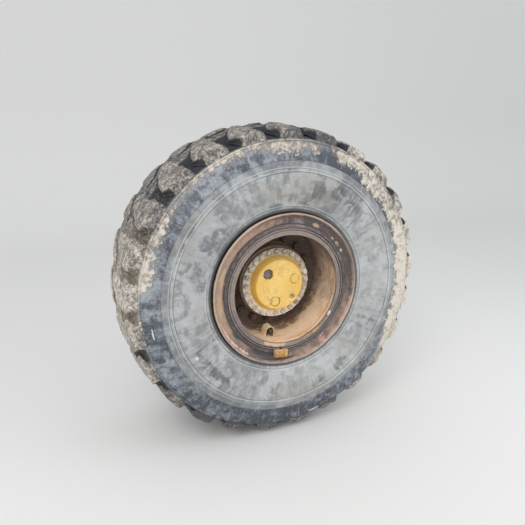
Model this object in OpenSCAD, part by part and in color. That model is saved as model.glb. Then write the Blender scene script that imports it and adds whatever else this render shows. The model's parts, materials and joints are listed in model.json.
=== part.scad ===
// Front wheel end of an articulated dump truck: tyre, multi-piece rim,
// planetary hub, dry disc brake and the hollow spindle that bolts to the axle.
// Millimetres. The wheel turns about Y. The wheel's face looks towards -Y,
// Z is up, and the truck's front is towards -X.
// The origin is the centre of the spindle flange's face, which meets the axle.
// Angles go counter-clockwise from +X as seen from outside the truck.

/* [Layout] */
// Distance from the axle flange's face out to the middle plane of the tyre
wheel_offset = 330; // [325:1:340]
// Distance from the middle plane out to the face of the wheel disc
disc_offset = 20; // [15:1:25]

/* [Tyre] */
// Radius of the worn tread at its crown
tread_r = 790; // [782:1:800]
// Radius of the tread at its edges
shoulder_r = 761; // [755:1:768]
// Half the width of the tread
tread_half_w = 254; // [246:1:260]
// Depth of the grooves between the lugs at the shoulders
groove_depth = 38; // [28:1:44]
// Depth of the worn grooves in the middle of the tread
centre_depth = 12; // [8:1:20]
// Distance from where the lugs start to narrow in to the edge of that middle
centre_in = 8; // [4:1:14]
// Width of the slope from the worn middle down to the full depth
centre_slope = 34; // [26:1:40]
// Radius where the lugs run out into the sidewall
lug_root_r = 703; // [696:1:710]
// Half the width of the tyre at its widest place
section_half_w = 297.5; // [294:0.5:300]
// Radius of the widest place of the sidewall
widest_r = 560; // [550:1:570]
// Radius of the sidewall's bulge in section
sidewall_curve = 412; // [400:1:430]
// Thickness of the sidewall
sidewall_t = 26; // [22:1:30]
// Thickness of the casing under the full depth of the grooves
crown_t = 40; // [34:1:46]
// Distance in from the tread's edge where the shoulder starts to round
shoulder_round = 18; // [14:1:22]
// Distance from the tread's edge in to where the groove floors end
floor_in = 25; // [20:1:30]
// Distance in from the tread's edge to the casing's inside corner
lining_in = 38; // [32:1:44]
// Radius of the step under the shoulder
buttress_r = 621; // [612:1:630]
// Height of the shoulder's step over the sidewall
buttress_h = 3; // [2:0.5:4]
// Radius of the inner edge of the raised belt on the sidewall
belt_r = 569; // [560:1:578]
// Width of the belt's flat top
belt_w = 16; // [12:1:20]
// Width of the slope on the belt's outer side
belt_slope = 18; // [12:1:24]
// Height of the belt over the sidewall
belt_h = 3; // [2:0.5:4]
// Width of the steps moulded in the sidewall
step_w = 3; // [2:0.5:4]
// Distance from the side rings' lips up to the ring where the sidewall turns in
bead_ring_gap = 21; // [17:1:25]
// Width of the groove between that ring and the side ring
bead_groove_w = 9; // [6:1:12]
// Depth of that groove
bead_groove_d = 4; // [3:1:6]
// Width of the bead's foot on the rim
bead_w = 52; // [50:1:58]
// Size of the cut on the bead's heel
bead_heel = 6; // [5:0.5:8]
// Height of the bead's toe over the seat
bead_toe_h = 14; // [12:1:18]
// Height over the bead ring where the sidewall's even thickness starts
bead_taper = 8; // [4:1:16]

/* [Tread lugs] */
// Number of lugs on each side
lug_count = 25; // [23:1:26]
// Angle of one of the outer lugs
lug_angle = 17.5; // [0:0.5:30]
// Width of a lug at the tread's edge
lug_w = 116; // [108:1:126]
// Width of a lug's tip at the middle of the tread
lug_tip_w = 84; // [76:1:88]
// How far a lug's tip is set over along the tread
lug_sweep = 18; // [10:1:26]
// How far a lug's tip reaches past the middle plane
lug_tip_reach = 18; // [12:1:24]
// Distance from the middle plane to where a lug starts to narrow
lug_knee = 150; // [130:1:170]
// How far a lug spreads behind its foot on its wide side
lug_flare = 40; // [30:1:48]
// Distance from the middle plane to where a lug is widest
lug_flare_out = 195; // [185:1:210]
// How much of that spread is left where the lug starts to narrow
lug_knee_flare = 30; // [20:1:38]
// How much a lug's tip narrows on each side past the middle plane
lug_tip_cut = 16; // [10:1:20]
// Radius of the worn round top of a lug
lug_round_r = 130; // [120:1:150]
// How far the round top is set over to the lug's wide side
lug_round_set = 20; // [14:1:26]
// Height of the worn round top over the crown
lug_round_rise = 12; // [8:1:16]
// Radius where the band under the lugs ends
root_band_r = 716; // [712:1:720]
// Depth of the groove under that band
root_groove_d = 3; // [2:0.5:4]
// How deep the lugs are rooted in the casing
lug_root_d = 10; // [6:1:14]

/* [Rim] */
// Radius of the bead seats, half of 25 inches
seat_r = 317.5; // [317:0.1:318]
// Half the width between the side rings, half of 19.5 inches
rim_half_w = 247.65; // [246:0.05:249]
// Height of the side rings over the bead seats, 2.5 inches
side_ring_h = 63.5; // [60:0.5:66]
// Thickness of the side rings
side_ring_t = 11; // [9:0.5:13]
// Radius of the side rings' outward curl
curl_r = 25; // [22:1:28]
// Slope of the bead seats in degrees
seat_slope = 5; // [4:0.5:6]
// Width of the sloped bead seats
seat_w = 49; // [44:1:54]
// Length of the slope from the inboard seat down to the barrel
seat_run_out = 14; // [10:1:18]
// Thickness of the bead seat band at its outboard end
band_t = 14.2; // [13:0.1:16]
// Length of the slope inside the band beside the lock ring
band_slope = 6; // [4:0.5:8]
// Thickness of the rim barrel
barrel_t = 18; // [15:1:20]
// Height of the lips that hold the side rings
lip_h = 9.5; // [8:0.5:12]
// Thickness of the inboard lip
back_lip_t = 18; // [14:1:22]
// Thickness of the bead seat band's lip
band_lip_t = 9; // [7:1:11]
// How far the gutter's edge lies under the barrel's outside
gutter_drop = 6; // [5:0.5:8]
// Thickness of the gutter from its inside up to its edge
gutter_t = 25; // [22:1:28]
// Thickness of the gutter's edge along the axle
gutter_lip_t = 8; // [6:1:10]
// Length of the thick gutter along the axle
gutter_w = 28; // [24:1:34]
// Length of the slope from the gutter to the barrel's inside
gutter_slope = 22; // [16:1:28]

/* [Lock ring and key] */
// Width of the lock ring's groove
groove_w = 13; // [11:1:15]
// Depth of the lock ring's groove under the barrel's outside
lock_groove_d = 13; // [11:0.5:14]
// How far the lock ring rises over the barrel's outside
lock_rise = 5; // [4:0.5:6]
// How far the lock ring stands out past its groove
lock_proud = 10; // [9:0.5:12]
// Width of the gap where the lock ring is split
lock_split = 12; // [8:1:16]
// Angle of the split and of the key over it
key_angle = 264; // [250:1:280]
// Width of the key
key_w = 76; // [70:1:84]
// Height of the key across the rings
key_h = 42; // [38:1:46]
// Thickness of the key
key_t = 11; // [9:1:13]
// How far the key rises past the band's lip
key_rise = 19; // [15:1:23]
// Size of the cuts along the key's edges
key_cut = 4; // [3:0.5:5]

/* [Wheel disc and bolts] */
// Thickness of the wheel disc
disc_t = 18; // [16:1:22]
// Radius of the hole in the wheel disc
disc_hole_r = 200; // [197:1:203]
// Size of the welds between the disc and the barrel
weld = 10; // [6:1:14]
// Number of wheel bolts
wheel_bolt_count = 16; // [12:1:20]
// Radius of the wheel bolts' circle
wheel_bolt_circle = 225; // [222:1:228]
// Radius of a wheel bolt's shank, 22 mm thread
wheel_bolt_r = 11; // [10:0.5:12]
// Size of a wheel nut across its corners
wheel_nut_corner = 38; // [36:1:40]
// Height of a wheel nut
wheel_nut_h = 22; // [18:1:26]
// Thickness of a wheel bolt's washer
wheel_washer_t = 5; // [4:0.5:6]
// How far that washer reaches out past its nut
washer_rim = 3; // [2:0.5:4]
// Length of thread that shows past a wheel nut
wheel_thread = 9; // [6:1:14]
// Thickness of a wheel bolt's round head behind the hub's flange
wheel_head_t = 12; // [10:1:14]

/* [Hub] */
// Gap from the edge of the hub's flange to the inside of the rim barrel
hub_flange_gap = 33; // [29:1:37]
// Thickness of the hub's flange
hub_flange_t = 26; // [22:1:30]
// Outer radius of the hub's drum
drum_r = 184; // [180:1:188]
// Outer radius of the drum's end flange
drum_end_r = 190; // [187:1:194]
// Thickness of the drum's end flange
drum_end_t = 24; // [20:1:28]
// Distance from the middle plane out to the end of the drum
drum_reach = 108; // [100:1:114]
// Radius of the hollow for the planet gears
gear_room_r = 110; // [100:1:118]
// Outer radius of the hub's neck behind the flange
neck_r = 120; // [114:1:124]
// Outer radius of the neck's end, where the brake disc is bolted
neck_end_r = 136; // [132:1:142]
// Thickness of the neck's end
neck_end_t = 18; // [15:1:22]
// Length of the slope from the neck's end to the neck
neck_slope = 16; // [12:1:20]
// Size of the slope between the neck and the flange
flange_slope = 30; // [24:1:36]
// Length of the pilot that centres the wheel disc, past the disc's face
pilot_l = 6; // [4:1:10]
// Length of the slope from the pilot to the drum
pilot_slope = 16; // [12:1:20]
// Distance from the axle flange out to the end of the neck
neck_start = 152; // [148:1:158]

/* [Planet cover] */
// Radius of the cover's bolted edge
cover_r = 181; // [178:1:184]
// Thickness of the cover's bolted edge
cover_edge_t = 22; // [18:1:26]
// Radius of the raised middle at its foot
crown_foot_r = 145; // [141:1:148]
// Radius of the raised middle at its face
crown_face_r = 131; // [127:1:135]
// Size of the worn edge round the raised middle
crown_edge = 5; // [3:0.5:7]
// Depth of the hollow in the cover's back
cover_hollow = 30; // [24:1:34]
// Width of the slope round that hollow
hollow_slope = 10; // [6:1:14]
// Height of the raised middle
cover_crown_h = 40; // [34:1:46]
// Radius of the small round step at the centre
centre_step_r = 68; // [60:1:74]
// Height of the centre step
centre_step_h = 3; // [2:0.5:4]
// Number of bolts round the cover
cover_bolt_count = 24; // [20:1:28]
// Radius of the cover bolts' circle
cover_bolt_circle = 165; // [163:1:166]
// Size of a cover bolt's head across its corners
cover_bolt_corner = 27; // [24:1:28]
// Height of a cover bolt's head
cover_bolt_h = 10; // [8:1:12]
// Thickness of a cover bolt's washer
cover_washer_t = 2; // [1.5:0.5:3]
// How far that washer reaches out past its head
cover_washer_rim = 1; // [0.5:0.5:1]
// Number of planet pins
pin_count = 3; // [3:1:4]
// Radius of the planet pins' circle
pin_circle = 88; // [86:1:92]
// Radius of a planet pin's plug
pin_plug_r = 24; // [20:1:26]
// Angle of the first planet pin
pin_angle = 16; // [0:1:30]
// Depth of the planet pins' holes
pin_hole_depth = 14; // [10:1:18]
// How far a plug's face lies under the cover's face
pin_sunk = 1; // [0.5:0.5:3]
// How far the bare plug's face lies under the cover's face
bare_pin_sunk = 7; // [5:0.5:9]
// Radius of the oil plug
oil_plug_r = 15; // [12:1:17]
// Radius of the oil plug's place on the cover
oil_plug_circle = 97; // [94:1:102]
// Angle of the oil plug
oil_plug_angle = 319; // [310:1:325]
// Depth of the oil plug's hole
oil_hole_depth = 10; // [8:1:12]
// How far the oil plug stands out
oil_plug_proud = 3; // [2:0.5:5]
// Depth of the hexagon socket in the oil plug
oil_socket_depth = 7; // [5:1:9]

/* [Spindle] */
// Radius of the spindle's flange
spindle_flange_r = 178; // [176:1:184]
// Thickness of the spindle's flange
spindle_flange_t = 30; // [26:1:34]
// Radius of the spigot that centres the spindle in the axle
spigot_r = 110; // [108:1:114]
// Length of the spigot
spigot_l = 12; // [10:1:16]
// Number of bolt holes in the spindle's flange
flange_hole_count = 16; // [12:1:18]
// Radius of the bolt holes' circle
flange_hole_circle = 155; // [152:1:158]
// Radius of a bolt hole, for a 20 mm bolt
flange_hole_r = 10.5; // [9:0.5:11]
// Radius of the seat behind the inner bearing
shoulder_seat_r = 96; // [93:1:98]
// Radius of the inner bearing seat
inner_seat_r = 85; // [80:1:88]
// Radius of the outer bearing seat
outer_seat_r = 70; // [66:1:74]
// Radius of the bore for the half shaft
shaft_bore_r = 36; // [32:1:42]
// How far the spindle reaches out past the wheel disc's face
spindle_past = 62; // [55:1:68]
// Distance from the disc's back in to the step between the bearing seats
bearing_step = 70; // [60:1:80]
// Free length between the steps of the spindle and of the hub
step_gap = 4; // [3:0.5:6]
// Length of the slope from the spindle's flange to its seats
spindle_slope = 34; // [28:1:40]
// Size of the cut on the spindle's end
end_cut = 4; // [3:0.5:6]
// How far the spindle reaches into the room for the gears
spindle_in_room = 12; // [8:1:16]
// Length of the seal at the neck's end
seal_l = 10; // [8:1:14]

/* [Brake] */
// Gap between the calipers and the inside of the rim barrel
caliper_rim_gap = 11; // [9:1:15]
// How far the calipers reach out past the brake disc
caliper_cover = 46; // [42:1:50]
// Gap between the calipers and the neck's end
caliper_neck_gap = 16; // [12:1:20]
// Thickness of the brake disc
brake_t = 26; // [22:1:30]
// Radius of the hole in the brake disc
brake_hole_r = 104; // [103:1:106]
// Number of bolts in the brake disc
brake_bolt_count = 10; // [8:1:12]
// Size of a brake bolt's head across its corners
brake_bolt_corner = 26; // [24:1:28]
// Height of a brake bolt's head
brake_bolt_h = 10; // [8:1:12]
// Thickness of a brake pad's lining
lining_t = 13; // [10:1:15]
// Thickness of a brake pad's plate
pad_plate_t = 6; // [5:0.5:8]
// How far the pads lie inside the calipers' inner edge
pad_edge = 8; // [6:1:10]
// How far the pads end inside the disc's edge
pad_rim = 2; // [1:0.5:4]
// Width of the brake pads
pad_w = 120; // [110:1:130]
// Width of a caliper along the brake disc
caliper_w = 150; // [140:1:160]
// Size of the cuts along the calipers' edges
caliper_cut = 12; // [8:1:16]
// Thickness of a caliper's outboard half
caliper_face_t = 40; // [34:1:44]
// Radius of a caliper's piston housings
piston_r = 34; // [30:1:36]
// Distance between the two pistons of a caliper half
piston_pitch = 74; // [70:1:80]
// How far the piston housings stand out of the caliper
piston_proud = 12; // [8:1:16]
// Size of a caliper bolt's head across its corners
caliper_bolt_corner = 30; // [27:1:33]
// Height of a caliper bolt's head
caliper_bolt_h = 13; // [11:1:15]
// Distance between the two bolts of a caliper
caliper_bolt_pitch = 94; // [86:1:100]
// How far the bracket's arms end inside the calipers' outer radius
arm_short = 18; // [14:1:22]
// How far the bracket's arms reach in over its ring
arm_root = 20; // [16:1:24]
// How much narrower the arms are than the calipers
arm_narrow = 10; // [6:1:14]
// Width of the window over the pads
window_w = 60; // [50:1:70]
// Width of the caliper's bars beside that window, along the axle
window_edge = 8; // [6:1:10]
// Thickness of the caliper bracket
bracket_t = 24; // [20:1:28]
// Inner radius of the caliper bracket
bracket_in_r = 126; // [124:1:130]

/* [Valve and its guard] */
// Angle of the valve
valve_angle = 262; // [255:1:270]
// Distance from the barrel's inside to the valve's middle
valve_drop = 27; // [24:1:30]
// Distance from the middle plane out to the valve's cap
valve_reach = 152; // [140:1:160]
// Length of the valve's stem along the axle
valve_l = 85; // [70:1:95]
// Radius of the valve's cap
valve_cap_r = 16; // [13:1:18]
// Length of the valve's cap without its dome
valve_cap_l = 22; // [16:1:28]
// Radius of the valve's stem
valve_stem_r = 8; // [6:0.5:9]
// How far the valve's foot stands out of the barrel
valve_foot = 2; // [1:0.5:4]
// Half the width of the valve guard
guard_half_w = 25; // [24:0.5:28]
// Thickness of the valve guard
guard_t = 5; // [4:0.5:6]
// Length of the valve guard along the axle
guard_l = 55; // [45:1:65]
// How far the guard's edge lies behind the end of the cap's barrel
guard_back = 6; // [3:1:10]

/* [Fits] */
// Gap between pieces of the rim that are pushed together
seat_gap = 0.3; // [0.2:0.05:0.5]
// Running gap between the hub's bores and the spindle's seats
run_gap = 0.05; // [0.02:0.01:0.1]
// Gap round the bolts in their holes
bolt_gap = 1; // [0.5:0.1:1.5]
// Gap between the linings and the brake disc
lining_gap = 0.8; // [0.5:0.1:1.5]
// Gap that keeps turning pieces off fixed ones
turn_gap = 6; // [5:0.5:8]
// Gap between the lock ring and the gutter's edge
lock_gap = 1.5; // [1:0.5:2]
// Gap between the seal and the turning neck
seal_end_gap = 0.5; // [0.3:0.1:1]

/* [Hidden] */

$fn = 96;

// How far shapes that cut run past what they cut.
past = 5;

// Places along the axle, as distances out from the axle flange.
disc_out = wheel_offset + disc_offset;
disc_in = disc_out - disc_t;
flange_in = disc_in - hub_flange_t;
drum_end = wheel_offset + drum_reach;
cover_edge = drum_end + cover_edge_t;
cover_face = cover_edge + cover_crown_h;
spindle_end = disc_out + spindle_past;
hub_step = disc_in - bearing_step;
gear_room_start = spindle_end - spindle_in_room;

// Places on the tread.
lug_pitch = 360 / lug_count;
tip_turn = lug_sweep / tread_r * 180 / PI;
lug_base_r = lug_root_r - lug_root_d;
floor_edge = tread_half_w - floor_in;
centre_half_w = lug_knee - centre_in;
room_top = tread_r - groove_depth - crown_t;

// Radii of the rim, each from the bead seat.
web_r = seat_r + side_ring_h - curl_r;
lip_r = seat_r + lip_h;
barrel_r = seat_r - band_t - seat_gap;
barrel_in_r = barrel_r - barrel_t;
gutter_lip_r = barrel_r - gutter_drop;
gutter_in_r = gutter_lip_r - gutter_t;
groove_r = barrel_r - lock_groove_d;
lock_r = barrel_r + lock_rise;
bead_ring_r = seat_r + side_ring_h + bead_ring_gap;
bead_top_r = bead_ring_r + bead_taper;
valve_place_r = barrel_in_r - valve_drop;
hub_flange_r = barrel_in_r - hub_flange_gap;

// Places on the rim, as distances from the middle plane.
ring_face = rim_half_w + side_ring_t;
band_end = ring_face + band_lip_t;
groove_out = band_end - lock_proud;
groove_in = groove_out - groove_w;
gutter_end = groove_out + gutter_lip_t;
gutter_start = gutter_end - gutter_w - gutter_slope;

// Radii of the brake, between the hub's neck and the rim barrel.
caliper_out_r = barrel_in_r - caliper_rim_gap;
caliper_in_r = neck_end_r + caliper_neck_gap;
brake_r = caliper_out_r - caliper_cover;
caliper_bridge_r = brake_r + turn_gap;
pad_in_r = caliper_in_r + pad_edge;
pad_out_r = brake_r - pad_rim;
brake_bolt_circle = (brake_hole_r + neck_end_r) / 2;
arm_end_r = caliper_out_r - arm_short;
caliper_bolt_circle = (spindle_flange_r + arm_end_r) / 2;

// Places of the brake, as distances out from the axle flange.
brake_in = neck_start - brake_t;
bracket_out = spindle_flange_t + bracket_t;
outer_plate = neck_start + lining_gap + lining_t + pad_plate_t;
inner_plate = brake_in - lining_gap - lining_t - pad_plate_t;
caliper_end = outer_plate + caliper_face_t;

// Puts a shape built at the top of the wheel at an angle round the axle.
module around(angle) rotate([0, 90 - angle, 0]) children();

// Repeats a shape built at the top evenly round the axle.
module ring_of(count, start = 90) {
    for (i = [0 : count - 1]) around(start + i * 360 / count) children();
}

// Turns a profile of [radius, distance along Y] about the axle.
module turned(profile) rotate([-90, 0, 0]) rotate_extrude() polygon(profile);

// Turns a profile of [radius, distance out from the axle flange].
module turned_out(profile) turned([for (p = profile) [p[0], -p[1]]]);

// Moves what is measured from the tyre's middle plane to its place.
module on_wheel() translate([0, -wheel_offset, 0]) children();

// A straight rod at the top, from one distance out to another.
module rod_out(r, radius, from, to, sides = $fn)
    translate([0, -from, radius]) rotate([90, 0, 0]) cylinder(h = to - from, r = r, $fn = sides);

// A hexagon head on its washer, at the top, standing on a face.
module hex_on_washer(corner, height, washer, rim, radius, face) {
    rod_out(corner / 2 + rim, radius, face, face + washer);
    rod_out(corner / 2, radius, face + washer, face + washer + height, 6);
}

// Points on a curve from p to q that bends towards the corner c.
function bend(p, c, q, n) = [
    for (i = [0 : n]) let (t = i / n) (1 - t) * (1 - t) * p + 2 * t * (1 - t) * c + t * t * q
];

// The other half of a profile, in reverse order and without its middle point.
function flip(pts) = [
    for (i = [len(pts) - 1 : -1 : 0]) if (abs(pts[i][1]) > 0.001) [pts[i][0], -pts[i][1]]
];

// Half width of the casing's outside at a radius.
function side_y(r) =
    section_half_w - sidewall_curve + sqrt(pow(sidewall_curve, 2) - pow(r - widest_r, 2));

// Radius of the tread at a distance from the middle plane.
function crown_at(y) = tread_r - (tread_r - shoulder_r) * pow(y / tread_half_w, 2);

// Radius of the bead seat at a distance from the middle plane.
function seat_at(y) = seat_r - tan(seat_slope) * (rim_half_w - y);

// A point of the sidewall at a radius, at a height over it.
function spot(r, rise = 0) = [r, side_y(r) + rise];

// Points down the sidewall between two radii, at a height over it.
function wall(from, to, n, rise = 0) = [
    for (i = [0 : n]) spot(from + (to - from) * i / n, rise)
];

// Points round the side ring's curl, from one angle to another off its web.
function curl(radius, from, to, n) = [
    for (i = [0 : n]) let (a = from + (to - from) * i / n)
        [web_r + radius * sin(a), rim_half_w + curl_r - radius * cos(a)]
];

// Outside of the casing, from the crown down to the bead's toe.
function casing_outside() = concat(
    [for (i = [0 : 2]) let (y = centre_half_w * i / 2) [crown_at(y) - centre_depth, y]],
    [for (y = [centre_half_w + centre_slope, floor_edge]) [crown_at(y) - groove_depth, y]],
    wall(root_band_r, lug_root_r + step_w, 1, buttress_h),
    [spot(lug_root_r, buttress_h - root_groove_d)],
    wall(lug_root_r - step_w, buttress_r + step_w, 3, buttress_h),
    wall(buttress_r, belt_r + belt_w + belt_slope, 1),
    wall(belt_r + belt_w, belt_r + step_w, 1, belt_h),
    wall(belt_r, bead_ring_r, 6),
    [[bead_ring_r - bead_groove_w, side_y(bead_ring_r) - bead_groove_d]],
    curl(curl_r + seat_gap, 45, 0, 3),
    [[seat_r + bead_heel, rim_half_w - seat_gap], [seat_r + seat_gap, rim_half_w - bead_heel]],
    [[seat_at(rim_half_w - bead_w) + seat_gap, rim_half_w - bead_w]]
);

// Inside of the casing, from the bead's toe up to the crown.
function casing_inside() = let (
        toe_y = rim_half_w - bead_w,
        corner_r = root_band_r - lining_in,
        corner_y = tread_half_w - lining_in
    ) concat(
    bend([seat_r + bead_toe_h, toe_y], [web_r, toe_y],
        spot(bead_top_r, -sidewall_t), 3),
    wall(bead_top_r + bead_taper, corner_r - bead_taper, 4, -sidewall_t),
    bend(spot(corner_r, -sidewall_t), [room_top, corner_y], [room_top, 0], 3)
);

// The ring of rubber that the lugs are cut from.
function tread_ring() = let (
        top = tread_half_w - shoulder_round,
        outside = concat(
            [for (i = [0 : 4]) let (y = top * i / 4) [crown_at(y), y]],
            bend([crown_at(top), top], [shoulder_r, tread_half_w + buttress_h],
                spot(root_band_r + floor_in, buttress_h), 3),
            [spot(root_band_r - step_w, buttress_h / 2)]
        ),
        inside = [for (i = [4 : -1 : 0]) let (y = floor_edge * i / 4)
            [crown_at(y) - groove_depth - lug_root_d, y]]
    ) concat(outside, inside, flip(inside), flip(outside));

// One lug of the outboard side, at the top of the wheel.
module lug() {
    foot = lug_w / 2;
    tip = lug_tip_w / 2;
    end = tip - lug_tip_cut;
    edge = section_half_w;
    drop = atan((tread_r - shoulder_r) / tread_half_w);
    intersection() {
        turned(tread_ring());
        translate([0, 0, lug_base_r]) linear_extrude(height = tread_r + past - lug_base_r) polygon([
            [-foot, -edge],
            [foot, -edge],
            [foot, -lug_knee],
            [lug_sweep + tip, -lug_tip_reach],
            [lug_sweep + end, lug_tip_reach],
            [lug_sweep - end, lug_tip_reach],
            [lug_sweep - tip, -lug_tip_reach],
            [-foot - lug_knee_flare, -lug_knee],
            [-foot - lug_flare, -lug_flare_out]
        ]);
        translate([-lug_round_set, 0, tread_r + lug_round_rise - lug_round_r])
            rotate([90 + drop, 0, 0]) cylinder(h = 2 * tread_r, r = lug_round_r, center = true);
    }
}

// Tyre: hollow casing with the lugs standing on it.
module tyre() {
    color("#55565a") on_wheel() union() {
        turned(concat(casing_outside(), casing_inside(), flip(casing_inside()),
            flip(casing_outside())));
        ring_of(lug_count, lug_angle) lug();
        ring_of(lug_count, lug_angle + lug_pitch / 2 - 2 * tip_turn) rotate([0, 0, 180]) lug();
    }
}

// Rim barrel: fixed inboard bead seat and barrel.
module rim_barrel() {
    color("#8a5a3c") on_wheel() difference() {
        turned([
            [barrel_in_r, ring_face + back_lip_t],
            [lip_r, ring_face + back_lip_t],
            [lip_r, ring_face],
            [seat_r, ring_face],
            [seat_r, rim_half_w],
            [seat_at(rim_half_w - seat_w), rim_half_w - seat_w],
            [barrel_r, rim_half_w - seat_w - seat_run_out],
            [barrel_r, -gutter_start],
            [barrel_in_r, -gutter_start]
        ]);
        around(valve_angle) valve_tube(valve_stem_r + seat_gap, barrel_r + past);
    }
}

// Gutter section: the ring on the barrel's outboard end that the lock ring sits in.
module gutter_section() {
    color("#84563c") on_wheel() turned([
        [barrel_in_r, -gutter_start],
        [barrel_r, -gutter_start],
        [barrel_r, -groove_in],
        [groove_r, -groove_in],
        [groove_r, -groove_out],
        [gutter_lip_r, -groove_out],
        [gutter_lip_r, -gutter_end],
        [gutter_in_r, -gutter_end],
        [gutter_in_r, gutter_w - gutter_end]
    ]);
}

// A side ring's section, for the side whose sign is given.
module side_ring(side) {
    lip = side_ring_t / 2;
    half = concat(
        [[seat_r + seat_gap, rim_half_w]],
        curl(curl_r, 0, 90, 6),
        [for (a = [30 : 30 : 150])
            [web_r + curl_r - lip + lip * cos(a), rim_half_w + curl_r + lip * sin(a)]],
        curl(curl_r - side_ring_t, 90, 0, 4),
        [[seat_r + seat_gap, ring_face]]
    );
    color("#7a4a30") on_wheel() turned([for (p = half) [p[0], side * p[1]]]);
}

// Side rings: the loose flanges that hold the tyre's beads.
module outer_side_ring() side_ring(-1);
module inner_side_ring() side_ring(1);

// Bead seat band: the loose sloped seat of the outboard bead.
module bead_seat_band() {
    start = rim_half_w - seat_w;
    color("#6b4a3a") on_wheel() turned([
        [barrel_r + seat_gap, -start],
        [seat_at(start), -start],
        [seat_r, -rim_half_w],
        [seat_r, -ring_face],
        [lip_r, -ring_face],
        [lip_r, -band_end],
        [lock_r + seat_gap, -band_end],
        [lock_r + seat_gap, -groove_in],
        [barrel_r + seat_gap, band_slope - groove_in]
    ]);
}

// Lock ring: the split ring in the gutter that holds the band.
module lock_ring() {
    color("#5c463c") on_wheel() difference() {
        turned([
            [groove_r + seat_gap, -groove_in - seat_gap],
            [lock_r, -groove_in - seat_gap],
            [lock_r, -band_end],
            [gutter_lip_r + lock_gap, -band_end],
            [gutter_lip_r + lock_gap, seat_gap - groove_out],
            [groove_r + seat_gap, seat_gap - groove_out]
        ]);
        around(key_angle) translate([-lock_split / 2, -band_end - past, gutter_in_r])
            cube([lock_split, band_end - groove_in + 2 * past, lip_r - gutter_in_r]);
    }
}

// Key: the block over the split, on the band's lip.
module lock_key() {
    top = lip_r + key_rise;
    foot = top - key_h;
    color("#b0612a") on_wheel() around(key_angle) translate([-key_w / 2, 0, 0])
        rotate([90, 0, 90]) linear_extrude(height = key_w) polygon([
            [-band_end, foot],
            [-band_end - key_t, foot + key_cut],
            [-band_end - key_t, top - key_cut],
            [-band_end - key_t + key_cut, top],
            [-band_end, top]
        ]);
}

// Wheel disc: the plate welded into the barrel, with its bolt holes.
module wheel_disc() {
    edge = barrel_in_r - seat_gap;
    color("#5a4638") difference() {
        turned_out([
            [disc_hole_r, disc_in],
            [edge - weld, disc_in],
            [edge, disc_in - weld],
            [edge, disc_out + weld],
            [edge - weld, disc_out],
            [disc_hole_r, disc_out]
        ]);
        ring_of(wheel_bolt_count)
            rod_out(wheel_bolt_r + bolt_gap, wheel_bolt_circle, disc_in - past, disc_out + past);
    }
}

// Wheel bolts: round head, shank, washer and nut of each.
module wheel_bolts() {
    thread_end = disc_out + wheel_washer_t + wheel_nut_h + wheel_thread;
    color("#4a3a30") ring_of(wheel_bolt_count) union() {
        rod_out(wheel_nut_corner / 2, wheel_bolt_circle, flange_in - wheel_head_t, flange_in);
        rod_out(wheel_bolt_r, wheel_bolt_circle, flange_in - past, thread_end);
        hex_on_washer(wheel_nut_corner, wheel_nut_h, wheel_washer_t, washer_rim,
            wheel_bolt_circle, disc_out);
    }
}

// The valve's radial leg through the barrel, at the top of the wheel.
module valve_tube(r, reach)
    translate([0, valve_l - valve_reach, valve_place_r]) cylinder(h = reach - valve_place_r, r = r);

// Valve: cap, stem along the barrel, elbow and the leg through the barrel.
module valve() {
    elbow = valve_reach - valve_l;
    color("#2c2c2e") on_wheel() around(valve_angle) union() {
        rod_out(valve_cap_r, valve_place_r, valve_reach - valve_cap_l, valve_reach);
        translate([0, -valve_reach, valve_place_r]) sphere(r = valve_cap_r);
        rod_out(valve_stem_r, valve_place_r, elbow, valve_reach - valve_cap_l + past);
        translate([0, -elbow, valve_place_r]) sphere(r = valve_stem_r);
        valve_tube(valve_stem_r, barrel_r + valve_foot);
    }
}

// Valve guard: an arched plate welded to the barrel over the valve.
module valve_guard() {
    low = valve_place_r - 2 * guard_half_w;
    high = barrel_in_r - seat_gap;
    color("#c9a03c") on_wheel() around(valve_angle) intersection() {
        translate([0, guard_back - valve_reach, valve_place_r]) rotate([-90, 0, 0])
            linear_extrude(height = guard_l) difference() {
                guard_arch(guard_half_w);
                guard_arch(guard_half_w - guard_t);
            }
        turned([
            [low, -wheel_offset],
            [high, -wheel_offset],
            [high, wheel_offset],
            [low, wheel_offset]
        ]);
    }
}

// The outline of the guard's arch, with its round end towards the axle.
module guard_arch(half) {
    circle(r = half);
    translate([-half, valve_place_r - barrel_r]) square([2 * half, barrel_r - valve_place_r]);
}

// Hub: neck, flange and drum, turning on the spindle.
module hub() {
    pilot_r = disc_hole_r - seat_gap;
    color("#5f4c3c") difference() {
        turned_out([
            [inner_seat_r + run_gap, neck_start],
            [neck_end_r, neck_start],
            [neck_end_r, neck_start + neck_end_t],
            [neck_r, neck_start + neck_end_t + neck_slope],
            [neck_r, flange_in - flange_slope],
            [neck_r + flange_slope, flange_in],
            [hub_flange_r, flange_in],
            [hub_flange_r, disc_in],
            [pilot_r, disc_in],
            [pilot_r, disc_out + pilot_l],
            [drum_r, disc_out + pilot_l + pilot_slope],
            [drum_r, drum_end - drum_end_t],
            [drum_end_r, drum_end - drum_end_t],
            [drum_end_r, drum_end],
            [gear_room_r, drum_end],
            [gear_room_r, gear_room_start],
            [outer_seat_r + run_gap, gear_room_start],
            [outer_seat_r + run_gap, hub_step],
            [inner_seat_r + run_gap, hub_step]
        ]);
        ring_of(wheel_bolt_count)
            rod_out(wheel_bolt_r + bolt_gap, wheel_bolt_circle, flange_in - past, disc_in + past);
    }
}

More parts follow.
